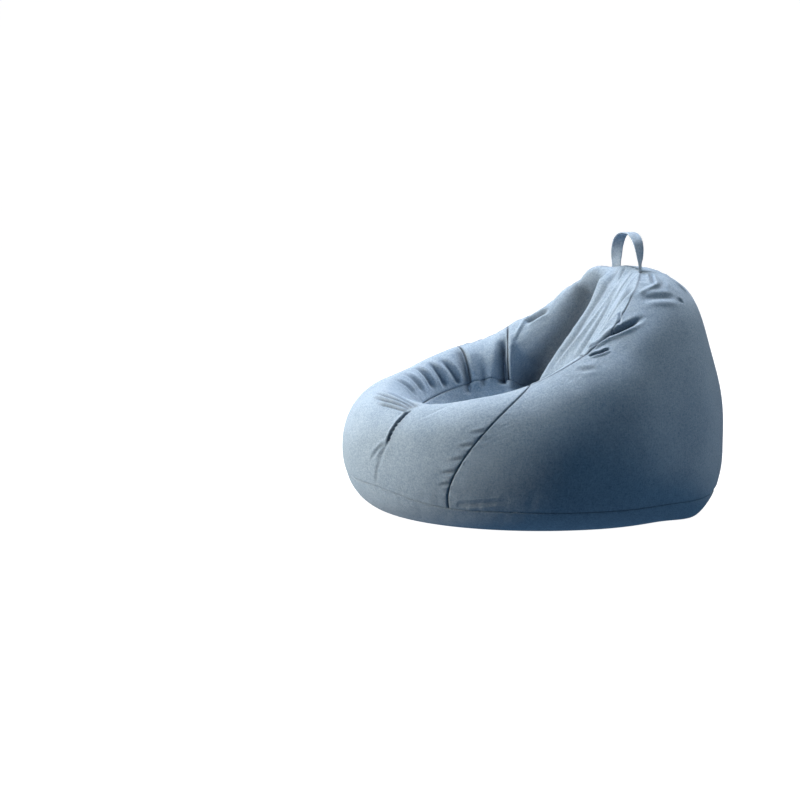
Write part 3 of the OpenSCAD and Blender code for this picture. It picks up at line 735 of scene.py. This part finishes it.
def woven(name, dark, light, yarn, sheen=0.35, mottle=0.5):
    """A plain weave of heathered yarns, darkened by painted shade in its folds and seams. yarn is their
    spacing in metres.
    """
    made, tree, shader = new_material(name)
    where = node(tree, "ShaderNodeTexCoord")
    uv = stretched(tree, where.outputs["UV"], (1 / yarn, 1 / yarn, 1))
    split = node(tree, "ShaderNodeSeparateXYZ", {0: uv})

    def round_yarn(x):
        f = maths(tree, "SUBTRACT", times(tree, maths(tree, "FRACT", x), 2.0), 1.0)
        return maths(tree, "SUBTRACT", 1.0, times(tree, f, f))

    over = node(tree, "ShaderNodeTexChecker", {"Vector": uv, "Scale": 1.0}).outputs["Fac"]
    warp, weft = round_yarn(split.outputs[0]), round_yarn(split.outputs[1])
    weave = node(tree, "ShaderNodeMix", {0: over, 2: warp, 3: weft}).outputs[0]

    def streaks(scale, seed):
        made = noise(tree, stretched(tree, uv, scale), 1.0, 2.0)
        made.noise_dimensions = "4D"
        made.inputs["W"].default_value = seed
        return made.outputs["Fac"]

    long_warp, long_weft = streaks((0.8, 0.1, 1), 1.0), streaks((0.1, 0.8, 1), 5.0)
    threads = node(tree, "ShaderNodeMix", {0: over, 2: long_warp, 3: long_weft}).outputs[0]
    slubs = times(tree, plus(tree, streaks((0.32, 0.07, 1), 2.0), streaks((0.07, 0.32, 1), 3.0)), 0.5)
    spots = noise(tree, where.outputs["Object"], 260.0, 3.0, Roughness=0.6).outputs["Fac"]
    clouds = noise(tree, where.outputs["Object"], 14.0, 3.0).outputs["Fac"]
    mix = times(tree, threads, 0.3)
    for part, share in ((slubs, 0.35), (spots, mottle), (clouds, 0.16), (weave, 0.14)):
        mix = plus(tree, mix, times(tree, part, share))
    heather = ramp(tree, mix, (0.45, dark), (1.0, light))
    # painted shade: the colour is darkened toward near black in folds and along seams, where shade falls
    painted_crease_shade = node(tree, "ShaderNodeAttribute", attribute_name="painted_crease_shade").outputs["Fac"]
    colour = node(tree, "ShaderNodeMix", {0: painted_crease_shade, 6: heather, 7: [0.05 * c for c in dark[:3]] + [1]},
                  data_type="RGBA").outputs[2]
    fine = bump(tree, plus(tree, weave, times(tree, threads, 0.8)), 0.55, yarn * 0.35)
    nap = bump(tree, spots, 0.35, 0.0012, Normal=fine)
    wire(tree, shader, Base_Color=colour, Normal=nap, Roughness=plus(tree, 0.82, times(tree, spots, 0.16)))
    shader.inputs["Specular IOR Level"].default_value = 0.25
    shader.inputs["Sheen Weight"].default_value = sheen
    shader.inputs["Sheen Roughness"].default_value = 0.45
    shader.inputs["Sheen Tint"].default_value = srgb(190, 205, 222)
    return made


cover_fabric = woven("cover_fabric", srgb(76, 103, 130), srgb(170, 186, 202), 0.0011)


def bead_material():
    """Foam beads about 3.5 mm across, packed against each other."""
    made, tree, shader = new_material("beads")
    where = node(tree, "ShaderNodeTexCoord").outputs["Object"]
    gap = node(tree, "ShaderNodeTexVoronoi", {"Vector": where, "Scale": 285.0}).outputs["Distance"]
    ball = maths(tree, "SUBTRACT", 1.0, times(tree, gap, gap))
    # painted shade: the colour darkens toward each bead's rim, where the gaps between packed beads are in
    # shade
    wire(tree, shader, Base_Color=ramp(tree, gap, (0.2, srgb(244, 243, 239)), (0.75, srgb(176, 174, 168))),
         Normal=bump(tree, ball, 0.9, 0.0016))
    shader.inputs["Roughness"].default_value = 0.6
    return made


foam_beads = bead_material()
liner_fabric = woven("liner_fabric", srgb(196, 197, 195), srgb(226, 226, 223), 0.0006, 0.1, 0.3)

# ---- Build the cover ----
SEAT_SINK = float(relief(np.array([[0, SEAT_Y, SEAT_Z]]), np.array([[0, 0, 1.0]]))[0][0])
STEP = 0.0029
for name in PANELS:
    outer, normal, dark, round_it = cover_shape(name, STEP * (1.3 if name == "base_panel" else 1))
    centre = None
    if name == "seat_panel":
        centre = np.array([[0, SEAT_Y, SEAT_Z + SEAT_SINK], [0, SEAT_Y, SEAT_Z + SEAT_SINK - FABRIC_T]])
    if name == "base_panel":
        centre = np.array([[0, 0, 0], [0, 0, FABRIC_T]])
    piece = skin(name + "_cloth", outer, normal, FABRIC_T, round_it, centre, name == "seat_panel")
    # painted shade of the folds and seams, stored on the cloth for its material
    painted_crease_shade = np.zeros(len(piece.data.vertices))
    painted_crease_shade[:dark.size] = dark.ravel()
    piece.data.attributes.new("painted_crease_shade", "FLOAT", "POINT").data.foreach_set("value", painted_crease_shade)
    finish_piece(piece, cover_fabric, "bag", name)
    print(name, "faces", len(piece.data.polygons))


# ---- Liner and filling: inside the cover, and following its folds ----
def inner_shape(low, high, depth, step):
    """Points a depth under the cover's outer face, between two heights of the profile."""
    us = np.linspace(-180, 180, round(2.0 / step) + 1)[:-1]
    v = np.linspace(0, 1, round(0.55 / step))
    uu, vv = np.meshgrid(us, v, indexing="ij")
    tt = low + (high - low) * vv
    smooth, normal, height = relief_grid(uu, tt)[:3]
    height = height + settled_rise(uu, tt)
    extra = (0.016 * ease((tt - 1.1) / 0.5) + 0.018 * ease((tt - 3) / 0.1)) * ease((CLOSED_T - tt) / 0.3)
    return smooth + normal * (np.minimum(height, 0.002) - depth - extra)[..., None], normal


LINER_DEPTH, LINER_T, BEADS_DEPTH = 0.007, 0.0008, 0.0095
COARSE = 0.009
for name, low, high, depth in [("liner_top", T_BASE + 0.004, CLOSED_T, LINER_DEPTH),
                               ("liner_base", FLOOR_T, T_BASE - 0.004, LINER_DEPTH)]:
    outer, normal = inner_shape(low, high, depth, COARSE)
    top = name == "liner_top"
    z = SEAT_Z + SEAT_SINK - depth if top else depth
    y, way = (SEAT_Y, -1) if top else (0, 1)
    centre = np.array([[0, y, z], [0, y, z + way * LINER_T]])
    piece = skin(name + "_cloth", outer, normal, LINER_T, True, centre, top)
    finish_piece(piece, liner_fabric, "bag", name)

outer, normal = inner_shape(FLOOR_T, CLOSED_T, BEADS_DEPTH, COARSE)
outer = outer - normal * 0.004 * ease((outer[..., 2:] - 0.012) / 0.05)
ends = [[0, 0, BEADS_DEPTH], [0, SEAT_Y, SEAT_Z + SEAT_SINK - BEADS_DEPTH]]
points = np.concatenate([outer.reshape(-1, 3), ends])
beads = mesh_object("bead_filling", points, closed_faces(*outer.shape[:2]))
finish_piece(beads, foam_beads, "bag", "bead_fill")


# ---- Carrying loop: a ribbon sewn flat into the ridge, twisting as it crosses ----
LOOP_SPAN, LOOP_H, STRAP_W, STRAP_T, LOOP_ROOT_H = 0.15, 0.078, 0.028, 0.0026, 0.01
TAB_DEPTH = 0.012
LEFT_TWIST, RIGHT_TWIST = 50, 59
STITCH_STEP, STITCH_L, STITCH_R, STITCH_SIDES = 0.0036, 0.0026, 0.00032, 6


def unit(v):
    return v / np.linalg.norm(v)


def ridge_point(a):
    return np.array(crest_place(a))


ROOT_A = 180 - math.degrees(math.asin(LOOP_SPAN / 2 / CREST_X))
root_left, root_right = ridge_point(ROOT_A), ridge_point(-ROOT_A)
tilt = math.atan2(root_left[2] - root_right[2], root_left[0] - root_right[0])
loop_x = np.array([math.cos(tilt), 0, math.sin(tilt)])
loop_z = np.array([-math.sin(tilt), 0, math.cos(tilt)])
loop_middle = (root_left + root_right) / 2 + LOOP_ROOT_H * loop_z
loop_half = np.linalg.norm(root_left - root_right) / 2


def loop_point(s):
    """The ribbon's middle line, for s from -1 at its right end to 1 at its left end."""
    a = math.pi / 2 * s
    return loop_middle + loop_half * math.copysign(abs(math.sin(a)) ** 0.8, s) * loop_x \
        + (LOOP_H - STRAP_T / 2) * max(math.cos(a), 0) ** 0.75 * loop_z


def across_loop(s):
    """Direction of the ribbon's width: along the ridge at its ends, and turned over at the top."""
    b = math.radians(90 + (LEFT_TWIST if s > 0 else RIGHT_TWIST) * s * abs(s) ** 1.2)
    w = np.array([math.cos(b), math.sin(b), 0])
    t = unit(loop_point(min(s + 0.01, 1)) - loop_point(max(s - 0.01, -1)))
    free = unit(w - w.dot(t) * t)
    sign = math.copysign(1, s)
    root = sign * unit(ridge_point(sign * ROOT_A + 0.5) - ridge_point(sign * ROOT_A - 0.5))
    k = 0.3 * float(ease((abs(s) - 0.9) / 0.1))
    return unit(free * (1 - k) + root * k)


def ribbon_frames(count):
    """Middle, width and thickness directions along the ribbon, with its two ends sunk in the ridge."""
    places = np.linspace(-1, 1, count)
    middle = [loop_point(s) for s in places]
    wide = [across_loop(s) for s in places]
    down = [-LOOP_ROOT_H * k - TAB_DEPTH * (k > 0.99) for k in (1.0, 0.7, 0.35)]
    middle = [middle[0] + d * loop_z for d in down] + middle + [middle[-1] + d * loop_z for d in down[::-1]]
    wide = [wide[0]] * 3 + wide + [wide[-1]] * 3
    way = np.gradient(np.array(middle), axis=0)
    return [(m, w, unit(np.cross(unit(g), w))) for m, w, g in zip(middle, wide, way)]


def ribbon_surface(frames, share, lift):
    """A place on the ribbon: share of its half width across, and of its half thickness out of it."""
    return [m + w * share * STRAP_W / 2 + h * lift * STRAP_T / 2 for m, w, h in frames]


def build_loop():
    frames = ribbon_frames(121)
    # Half of the outline of a strap folded from one wide strip: rolled edges, and a slight dip between
    section = [(-0.97, 0), (-0.99, 0.45), (-0.93, 0.9), (-0.84, 1.08), (-0.72, 1.0), (-0.5, 0.86), (0, 0.8),
               (0.5, 0.86), (0.72, 1.0), (0.84, 1.08), (0.93, 0.9), (0.99, 0.45)]
    section += [(-x, -y) for x, y in section]
    rng = np.random.default_rng(11)
    wobble = np.convolve(rng.normal(size=len(frames) + 8), np.ones(9) / 9, "valid")
    points = np.array([m + w * x * STRAP_W / 2 * (1 + 0.02 * d) + h * y * STRAP_T / 2
                       for (m, w, h), d in zip(frames, wobble) for x, y in section])
    along = arc(np.array([m for m, w, h in frames])[:, None], 0)[:, 0]
    girth = np.cumsum([0] + [math.dist((a[0] * STRAP_W, a[1] * STRAP_T), (b[0] * STRAP_W, b[1] * STRAP_T)) / 2
                             for a, b in zip(section, section[1:])])
    uvs = [(u, v) for u in along for v in girth]
    strap = mesh_object("carry_loop_strap", points, tube_faces(len(frames), len(section)), uvs)
    strap.data.materials.append(strap_fabric)
    # Two rows of lock stitches near the edges, on both faces
    stitches, quads = [], []
    dense = ribbon_frames(401)
    # Each stitch is three rings, with their places along it, sizes and lifts
    rings = [(0, 0.35, -0.0002), (STITCH_L / 2, 1, 0.00012), (STITCH_L, 0.35, -0.0002)]
    for share in (-0.66, 0.66):
        for face in (1, -1):
            line = np.array(ribbon_surface(dense, share, face * 1.02))
            run = arc(line[:, None], 0)[:, 0]
            for start in np.arange(0.012, run[-1] - 0.012, STITCH_STEP):
                _, w, h = dense[min(int(np.searchsorted(run, start)), len(dense) - 1)]
                base = len(stitches)
                for ahead, size, lift in rings:
                    place = np.array([np.interp(start + ahead, run, line[:, k]) for k in range(3)])
                    for turn in range(STITCH_SIDES):
                        a = turn * 2 * math.pi / STITCH_SIDES
                        round_it = math.cos(a) * w + math.sin(a) * h * face
                        stitches.append(place + STITCH_R * size * round_it + lift * face * h)
                quads += [tuple(base + k for k in f[::-1]) for f in tube_faces(len(rings), STITCH_SIDES)]
    thread_piece = mesh_object("carry_loop_stitching", stitches, quads)
    thread_piece.data.materials.append(thread)
    start, end = loop_middle - 0.006 * loop_z, loop_middle + 0.008 * loop_z
    for piece in (strap, thread_piece):
        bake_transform(piece)
    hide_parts("handle_strap", "handle_root_tabs")


strap_fabric = woven("strap_fabric", srgb(80, 106, 133), srgb(176, 191, 206), 0.0009)
thread = woven("thread", srgb(98, 122, 146), srgb(160, 178, 196), 0.0004, 0.2)
build_loop()


# ---- Zips. Both are built in a place's own frame: s runs along the zip, y up the cloth and z out of it ----
ZIP_R = REAR_R - FOOT_INSET * (1 - math.sin(math.radians(BASE_SEAM_PHI)))
ZIP_Z = BULGE_Z * (1 - math.cos(math.radians(BASE_SEAM_PHI)))
ZIP_LEAN = math.atan2(BULGE_Z * math.sin(math.radians(BASE_SEAM_PHI)),
                      FOOT_INSET * math.cos(math.radians(BASE_SEAM_PHI)))
ZIP_HALF, CLOSED_END = math.radians(38) * ZIP_R, math.radians(35.5) * ZIP_R
LINER_ZIP_HALF, LINER_ZIP_Y, LINER_SLIDER = 0.21, 0.12, -0.194
TAPE_TOP, TAPE_T, TAPE_FROM, TAPE_W = -0.0035, 0.0005, 0.0027, 0.013
COIL_PITCH, COIL_WIRE, COIL_LOW, COIL_HIGH = 0.0016, 0.0003, -0.0043, -0.0024
COIL_NEAR, COIL_SHORTER = 0.0004, 0.0065


def on_cover_zip(s, y, z):
    """World points from distances along the cover's zip, up the cover and out of it."""
    a, cosine, sine = np.asarray(s) / ZIP_R, math.cos(ZIP_LEAN), math.sin(ZIP_LEAN)
    r, height = ZIP_R + y * cosine + z * sine, ZIP_Z + y * sine - z * cosine
    return np.stack(np.broadcast_arrays(-r * np.sin(a), PLAN_Y + r * np.cos(a), height), -1)


def on_liner_zip(s, y, z):
    return np.stack(np.broadcast_arrays(s, LINER_ZIP_Y + y, 0.0008 - z), -1)


def rings_round(line, across, other, r, size):
    """A ring of so many points round each point of a line, in the plane of two directions."""
    turn = np.arange(size)[:, None] * 2 * math.pi / size
    return line[:, None] + r * (across[:, None] * np.cos(turn) + other[:, None] * np.sin(turn))


def swept_band(name, place, half, section, count):
    """A closed section of (y, z) places swept along a zip."""
    run = np.linspace(-half, half, count)
    y, z = np.array(section).T
    points = place(run[:, None], y[None], z[None]).reshape(-1, 3)
    uvs = [(s, v) for s in run for v in y]
    return mesh_object(name, points, tube_faces(count, len(section)), uvs)


def zip_tape(name, place, half, side, count):
    """A woven tape with a thicker edge beside the teeth and a fine selvage."""
    top, low = TAPE_TOP, TAPE_TOP - TAPE_T
    near, far = TAPE_FROM, TAPE_W
    section = [(near, top - 0.0001), (near + 0.0004, top + 0.0003), (near + 0.0011, top), (far - 0.0012, top),
               (far - 0.0006, top + 0.00015), (far, top - 0.0001), (far, low), (near, low)]
    return swept_band(name, place, half, [(side * y, z) for y, z in section], count)


def zip_coil(name, place, half, side):
    """A row of nylon teeth: one filament wound in flattened turns, whose heads stand beside the slot."""
    turns = int(2 * half / COIL_PITCH)
    per_turn, ring = ((12, 6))
    n = turns * per_turn
    k = np.arange(n + 1) / per_turn
    a = 2 * math.pi * k + (0 if side > 0 else math.pi)
    mid_y, half_y = (COIL_NEAR + TAPE_FROM) / 2, (TAPE_FROM - COIL_NEAR) / 2 - COIL_WIRE
    mid_z, half_z = (COIL_LOW + COIL_HIGH) / 2, (COIL_HIGH - COIL_LOW) / 2 - COIL_WIRE
    along = -half + COIL_PITCH * (k + 0.16 * np.sin(2 * a))
    across = mid_y - half_y * np.sign(np.cos(a)) * np.abs(np.cos(a)) ** 0.7
    out = mid_z + half_z * np.sign(np.sin(a)) * np.abs(np.sin(a)) ** 0.7
    line = np.stack([along, across, out], -1)
    way = np.gradient(line, axis=0)
    way /= np.linalg.norm(way, axis=1, keepdims=True)
    middle = np.array([0.0, mid_y, mid_z])
    away = (line - middle) * [0, 1, 1]
    away -= (away * way).sum(1, keepdims=True) * way
    away /= np.linalg.norm(away, axis=1, keepdims=True)
    other = np.cross(way, away)
    local = rings_round(line, away, other, COIL_WIRE, ring)
    points = place(local[..., 0], side * local[..., 1], local[..., 2]).reshape(-1, 3)
    return mesh_object(name, points, tube_faces(n + 1, ring))


def rounded(x0, y0, x1, y1, r, count=6):
    """Outline of a box with round corners."""
    corners = [(x1 - r, y1 - r, 0), (x0 + r, y1 - r, 90), (x0 + r, y0 + r, 180), (x1 - r, y0 + r, 270)]
    turns = [(cx, cy, math.radians(a + 90 * k / count)) for cx, cy, a in corners for k in range(count + 1)]
    return [(cx + r * math.cos(a), cy + r * math.sin(a)) for cx, cy, a in turns]


def pressed(outlines, low, high, edge=0.0002):
    """Points and faces of a plate with rounded edges, from its rim and the holes in it."""
    curve = bpy.data.curves.new("plate", "CURVE")
    curve.dimensions, curve.fill_mode = "2D", "BOTH"
    curve.extrude, curve.bevel_depth, curve.bevel_resolution = (high - low) / 2 - edge, edge, 2
    curve.offset = -edge
    for outline in outlines:
        spline = curve.splines.new("POLY")
        spline.points.add(len(outline) - 1)
        spline.use_cyclic_u = True
        for point, (x, y) in zip(spline.points, outline):
            point.co = (x, y, 0, 1)
    holder = bpy.data.objects.new("plate", curve)
    scene.collection.objects.link(holder)
    mesh = bpy.data.meshes.new_from_object(holder.evaluated_get(bpy.context.evaluated_depsgraph_get()))
    merged = bmesh.new()
    merged.from_mesh(mesh)
    bmesh.ops.remove_doubles(merged, verts=merged.verts, dist=1e-7)
    points = np.array([v.co for v in merged.verts]) + [0, 0, (low + high) / 2]
    faces = [tuple(v.index for v in f.verts) for f in merged.faces]
    merged.free()
    bpy.data.objects.remove(holder)
    bpy.data.curves.remove(curve)
    bpy.data.meshes.remove(mesh)
    return points, faces


def swept_rod(path, r, ring=10):
    """Points and faces of a round rod along a path of points."""
    line = np.array(path, float)
    way = np.gradient(line, axis=0)
    way /= np.linalg.norm(way, axis=1, keepdims=True)
    side = np.cross(way, [0, 1, 0]) if abs(way[0][1]) < 0.9 else np.cross(way, [1, 0, 0])
    side /= np.linalg.norm(side, axis=1, keepdims=True)
    other = np.cross(way, side)
    points = rings_round(line, side, other, r, ring).reshape(-1, 3)
    return points, [f[::-1] for f in tube_faces(len(line), ring)]


def assembled(name, solids, place, at):
    """One piece from several solids in a zip's own frame, with its middle at a place along the zip."""
    points, faces = [], []
    for solid_points, solid_faces in solids:
        faces += [tuple(k + len(points) for k in f) for f in solid_faces]
        points += list(solid_points)
    local = np.array(points)
    made = mesh_object(name, place(local[:, 0] + at, local[:, 1], local[:, 2]), faces)
    tidy = bmesh.new()
    tidy.from_mesh(made.data)
    bmesh.ops.recalc_face_normals(tidy, faces=tidy.faces)
    tidy.to_mesh(made.data)
    tidy.free()
    made.data.shade_smooth()
    made.modifiers.new("edges", "EDGE_SPLIT").split_angle = math.radians(50)
    return made


SLIDER_L, SLIDER_W, PLATE_T, PLATE_OUT, PLATE_IN = 0.012, 0.010, 0.0008, -0.0021, -0.0046
PIN_Z, PIN_R, PULL_L = 0.0002, 0.0007, 0.028


def slider_solids(arch):
    """A slider's two plates, wide at the mouth where the rows part, their side walls, wedge and arch."""
    l, w = SLIDER_L / 2, SLIDER_W / 2
    half = [(l, 0.45 * w), (0.8 * l, 0.92 * w), (0.35 * l, w), (-0.2 * l, 0.86 * w), (-0.75 * l, 0.72 * w),
            (-l, 0.5 * w)]
    outline = half + [(x, -y) for x, y in half[::-1]]
    solids = [pressed([outline], PLATE_OUT, PLATE_OUT + PLATE_T)]
    solids.append(pressed([outline], PLATE_IN - PLATE_T, PLATE_IN))
    for side in (1, -1):        # both plates' walls, turned in round the rows
        shape = [(0.7, 0.96), (0.3, 1), (-0.2, 0.88), (-0.8, 0.74)]
        wall = [(x * l, side * y * w) for x, y in shape]
        inside = [(x, y - side * 0.0006) for x, y in wall[::-1]]
        solids.append(pressed([wall + inside], PLATE_OUT - 0.0007, PLATE_OUT + 0.0002, 0.0001))
        solids.append(pressed([wall + inside], PLATE_IN - 0.0002, PLATE_IN + 0.0006, 0.0001))
    wedge = rounded(l - 0.0034, -0.00035, l - 0.0004, 0.00035, 0.0003)
    solids.append(pressed([wedge], PLATE_IN, PLATE_OUT, 0.0001))
    if arch:
        bend = np.radians(np.arange(0, 181, 12))
        path = [(-0.0040 * math.cos(a), 0, PLATE_OUT + PLATE_T + 0.0032 * math.sin(a) ** 0.6) for a in bend]
        solids.append(swept_rod(path, 0.00055))
    return solids


def bow(x, r, degrees):
    """Places on a circle about a point of the zip's line."""
    return [(x + r * math.cos(a), r * math.sin(a)) for a in np.radians(degrees)]


def pull_solids():
    """A pull tab: a window that the slider's arch passes through, a tapered tongue and a hole at its end."""
    near, far, behind = 0.0029, 0.004, -0.0004
    side = [(0.0125, 0.0036), (0.0092, 0.0031), (0.0065, near), (0.0005, near), (behind, near - 0.0008)]
    rim = [(x, -y) for x, y in side[1::-1]] + bow(PULL_L - far, far, np.arange(-90, 91, 10)) + side
    rim += [(x, -y) for x, y in side[:1:-1]]
    eye = bow(PULL_L - 0.0045, 0.0016, np.arange(0, 360, 15))
    window = rounded(0.0004, -0.0014, 0.0060, 0.0014, 0.0006)
    panel = rounded(0.0105, -0.0022, 0.0185, 0.0022, 0.0012)
    low, high = PIN_Z - PIN_R, PIN_Z + PIN_R
    return [pressed([rim, window, eye], low, high), pressed([panel], low - 0.00015, high + 0.00015, 0.00012)]


def build_zip(prefix, place, half, nodes, slider_at, body, materials, pull):
    tape, teeth, metal = materials
    for side, word in ((1, "upper"), (-1, "lower")):
        which = 0 if side > 0 else -1
        edge = zip_tape(f"{prefix}_tape_{word}_woven", place, half, side, 120 if pull else 60)
        finish_piece(edge, tape, "bag", nodes["tape"][which])
        row = zip_coil(f"{prefix}_coil_{word}", place, half - COIL_SHORTER, side)
        finish_piece(row, teeth, "bag", nodes["teeth"][which])
    slider = assembled(f"{prefix}_slider_body", slider_solids(pull), place, slider_at)
    finish_piece(slider, metal, body, nodes["slider"])


def fine_plastic(name, colour, dark, rough):
    """Slightly cloudy moulded nylon."""
    made, tree, shader = new_material(name)
    where = node(tree, "ShaderNodeTexCoord").outputs["Object"]
    clouds = noise(tree, where, 340.0, 3.0).outputs["Fac"]
    wire(tree, shader, Base_Color=ramp(tree, clouds, (0.35, dark), (0.65, colour)),
         Normal=bump(tree, clouds, 0.2, 0.0001), Roughness=plus(tree, rough, times(tree, clouds, 0.2)))
    return made


def lacquered_metal(name, coat, bare):
    """Lacquered zinc with fine scratches and worn edges."""
    made, tree, shader = new_material(name)
    where = node(tree, "ShaderNodeTexCoord").outputs["Object"]
    scratches = noise(tree, stretched(tree, where, (300, 2600, 900)), 1.0, 4.0).outputs["Fac"]
    edges = node(tree, "ShaderNodeNewGeometry").outputs["Pointiness"]
    worn = ramp(tree, plus(tree, edges, times(tree, scratches, 0.12)), (0.6, BLACK), (0.68, WHITE))
    colour = node(tree, "ShaderNodeMix", {0: worn, 6: coat, 7: bare}, data_type="RGBA").outputs[2]
    shader.inputs["Metallic"].default_value = 0.85
    wire(tree, shader, Base_Color=colour, Normal=bump(tree, scratches, 0.15, 0.0001),
         Roughness=plus(tree, 0.22, times(tree, scratches, 0.3)))
    return made


cover_tape = woven("zip_tape", srgb(60, 82, 106), srgb(120, 142, 164), 0.0005, 0.15)
cover_nylon = fine_plastic("zip_teeth", srgb(84, 106, 128), srgb(66, 88, 110), 0.3)
dark_metal = lacquered_metal("zip_metal", srgb(96, 104, 112), srgb(196, 198, 200))
white_tape = woven("liner_zip_tape", srgb(196, 197, 195), srgb(232, 232, 230), 0.0005, 0.1, 0.3)
white_nylon = fine_plastic("liner_zip_teeth", srgb(228, 228, 224), srgb(208, 208, 204), 0.3)
pale_metal = lacquered_metal("liner_zip_metal", srgb(206, 206, 202), srgb(160, 162, 164))

cover_nodes = {"tape": ["zip_tape_upper", "zip_tape_lower"], "teeth": ["zip_teeth_upper", "zip_teeth_lower"],
               "slider": "zip_slider"}
liner_nodes = {"tape": ["liner_zip_tapes"], "teeth": ["liner_zip_teeth"], "slider": "liner_zip_slider"}
build_zip("zip", on_cover_zip, ZIP_HALF, cover_nodes, CLOSED_END, "cover_slider",
          (cover_tape, cover_nylon, dark_metal), True)
build_zip("liner_zip", on_liner_zip, LINER_ZIP_HALF, liner_nodes, LINER_SLIDER, "liner_slider",
          (white_tape, white_nylon, pale_metal), False)
pull = assembled("zip_pull", pull_solids(), on_cover_zip, CLOSED_END)
finish_piece(pull, dark_metal, "cover_pull", "zip_pull_tab")
clamp = pressed([rounded(-0.0015, -0.0026, 0.0015, 0.0026, 0.0008)], COIL_LOW, COIL_HIGH + 0.0003, 0.0003)
STOP_AT = ZIP_HALF - math.radians(0.5) * ZIP_R
pair = [(clamp[0] + [end * STOP_AT, 0, 0], clamp[1]) for end in (-1, 1)]
staples = assembled("zip_stop_staples", pair, on_cover_zip, 0)
finish_piece(staples, dark_metal, "bag", "zip_stops")


# ---- Care label: a blank satin ribbon with its top edge sewn into the base seam ----
def build_label():
    place_angle, wide, tall, thick = math.radians(52), 0.030, 0.032, 0.0004
    across, down = 25, 33
    x = np.linspace(-wide / 2, wide / 2, across)[:, None]
    d = np.linspace(0, tall, down)[None]
    sag = 0.0012 * np.sin(x * 160 + d * 60) * (d / tall) ** 1.5 + 0.0022 * (d / tall) ** 2.2
    local = np.stack(np.broadcast_arrays(x, -0.001 - d, 0.0008 + sag * 0.8), -1)
    at = place_angle * ZIP_R
    outer = on_cover_zip(local[..., 0] + at, local[..., 1], local[..., 2])
    inner = on_cover_zip(local[..., 0] + at, local[..., 1], local[..., 2] - thick)
    label = skin("care_label_ribbon", outer, (outer - inner) / thick, thick, False)
    finish_piece(label, satin, "bag", "care_label")


satin = woven("label_fabric", srgb(206, 206, 202), srgb(240, 240, 236), 0.00035, 0.2, 0.25)
build_label()


# ---- Stage ----
LIGHT_DISTANCE, LIGHT_TARGET = 3.4, Vector((0, 0, 0.25))
FLOOR_GLOW = (0.125, 0.225, 0.335)      # light from below the chair. Above it the world is nearly dark


def area_light(name, azimuth, elevation, size, watts, colour):
    """A round soft light, in a direction from the chair."""
    data = bpy.data.lights.new(name, "AREA")
    data.shape, data.size, data.energy, data.color = "DISK", size, watts, colour
    light = bpy.data.objects.new(name, data)
    scene.collection.objects.link(light)
    way = toward(azimuth, elevation)
    light.location = LIGHT_TARGET + LIGHT_DISTANCE * way
    light.rotation_euler = (-way).to_track_quat("-Z", "Y").to_euler()


def backdrop():
    """A pale floor that turns up into a round wall far away."""
    rings = [(0.01, 0), (3, 0), (9, 0), (11, 0.3), (12.5, 1.5), (13, 4), (12.5, 9), (9, 14), (0.01, 16)]
    a = np.radians(np.arange(0, 360, 7.5))
    points = [(r * math.cos(k), r * math.sin(k), z) for k in a for r, z in rings]
    faces = grid_faces(len(a), len(rings), True)
    wall = mesh_object("floor", points, faces)
    white, _, shader = new_material("floor")
    shader.inputs["Base Color"].default_value = (0.2, 0.2, 0.2, 1)
    shader.inputs["Roughness"].default_value = 1
    shader.inputs["Specular IOR Level"].default_value = 0
    shader.inputs["Emission Color"].default_value = (1, 1, 1, 1)
    shader.inputs["Emission Strength"].default_value = 1.0
    wall.data.materials.append(white)
    wall.visible_diffuse = wall.visible_glossy = wall.visible_shadow = False


def set_stage():
    backdrop()
    area_light("key", -8, 8, 0.8, 135, (1, 0.85, 0.66))
    area_light("front", -10, 34, 0.8, 76, (0.84, 0.94, 1))
    area_light("top", -88, 60, 0.9, 170, (0.96, 0.96, 1))
    area_light("back", 180, 50, 1.4, 54, (1, 0.88, 0.72))
    area_light("side", 140, 45, 1.4, 20, (0.4, 0.72, 1))
    world = bpy.data.worlds.new("world")
    scene.world = world
    world.use_nodes = True
    tree = world.node_tree
    way = node(tree, "ShaderNodeSeparateXYZ", {0: node(tree, "ShaderNodeTexCoord").outputs["Generated"]})
    height = plus(tree, times(tree, way.outputs[2], 0.5), 0.5)
    sky = node(tree, "ShaderNodeValToRGB", {0: height})
    stops = [(0.0, 1.0), (0.36, 1.0), (0.42, 0.1), (0.5, 0.05), (1.0, 0.05)]
    while len(sky.color_ramp.elements) < len(stops):
        sky.color_ramp.elements.new(0.5)
    for element, (place, level) in zip(sky.color_ramp.elements, stops):
        element.position, element.color = place, (*(c * level for c in FLOOR_GLOW), 1)
    tree.links.new(sky.outputs[0], tree.nodes["Background"].inputs["Color"])
    tree.nodes["Background"].inputs["Strength"].default_value = 1
    scene.view_settings.view_transform = "Standard"


set_stage()
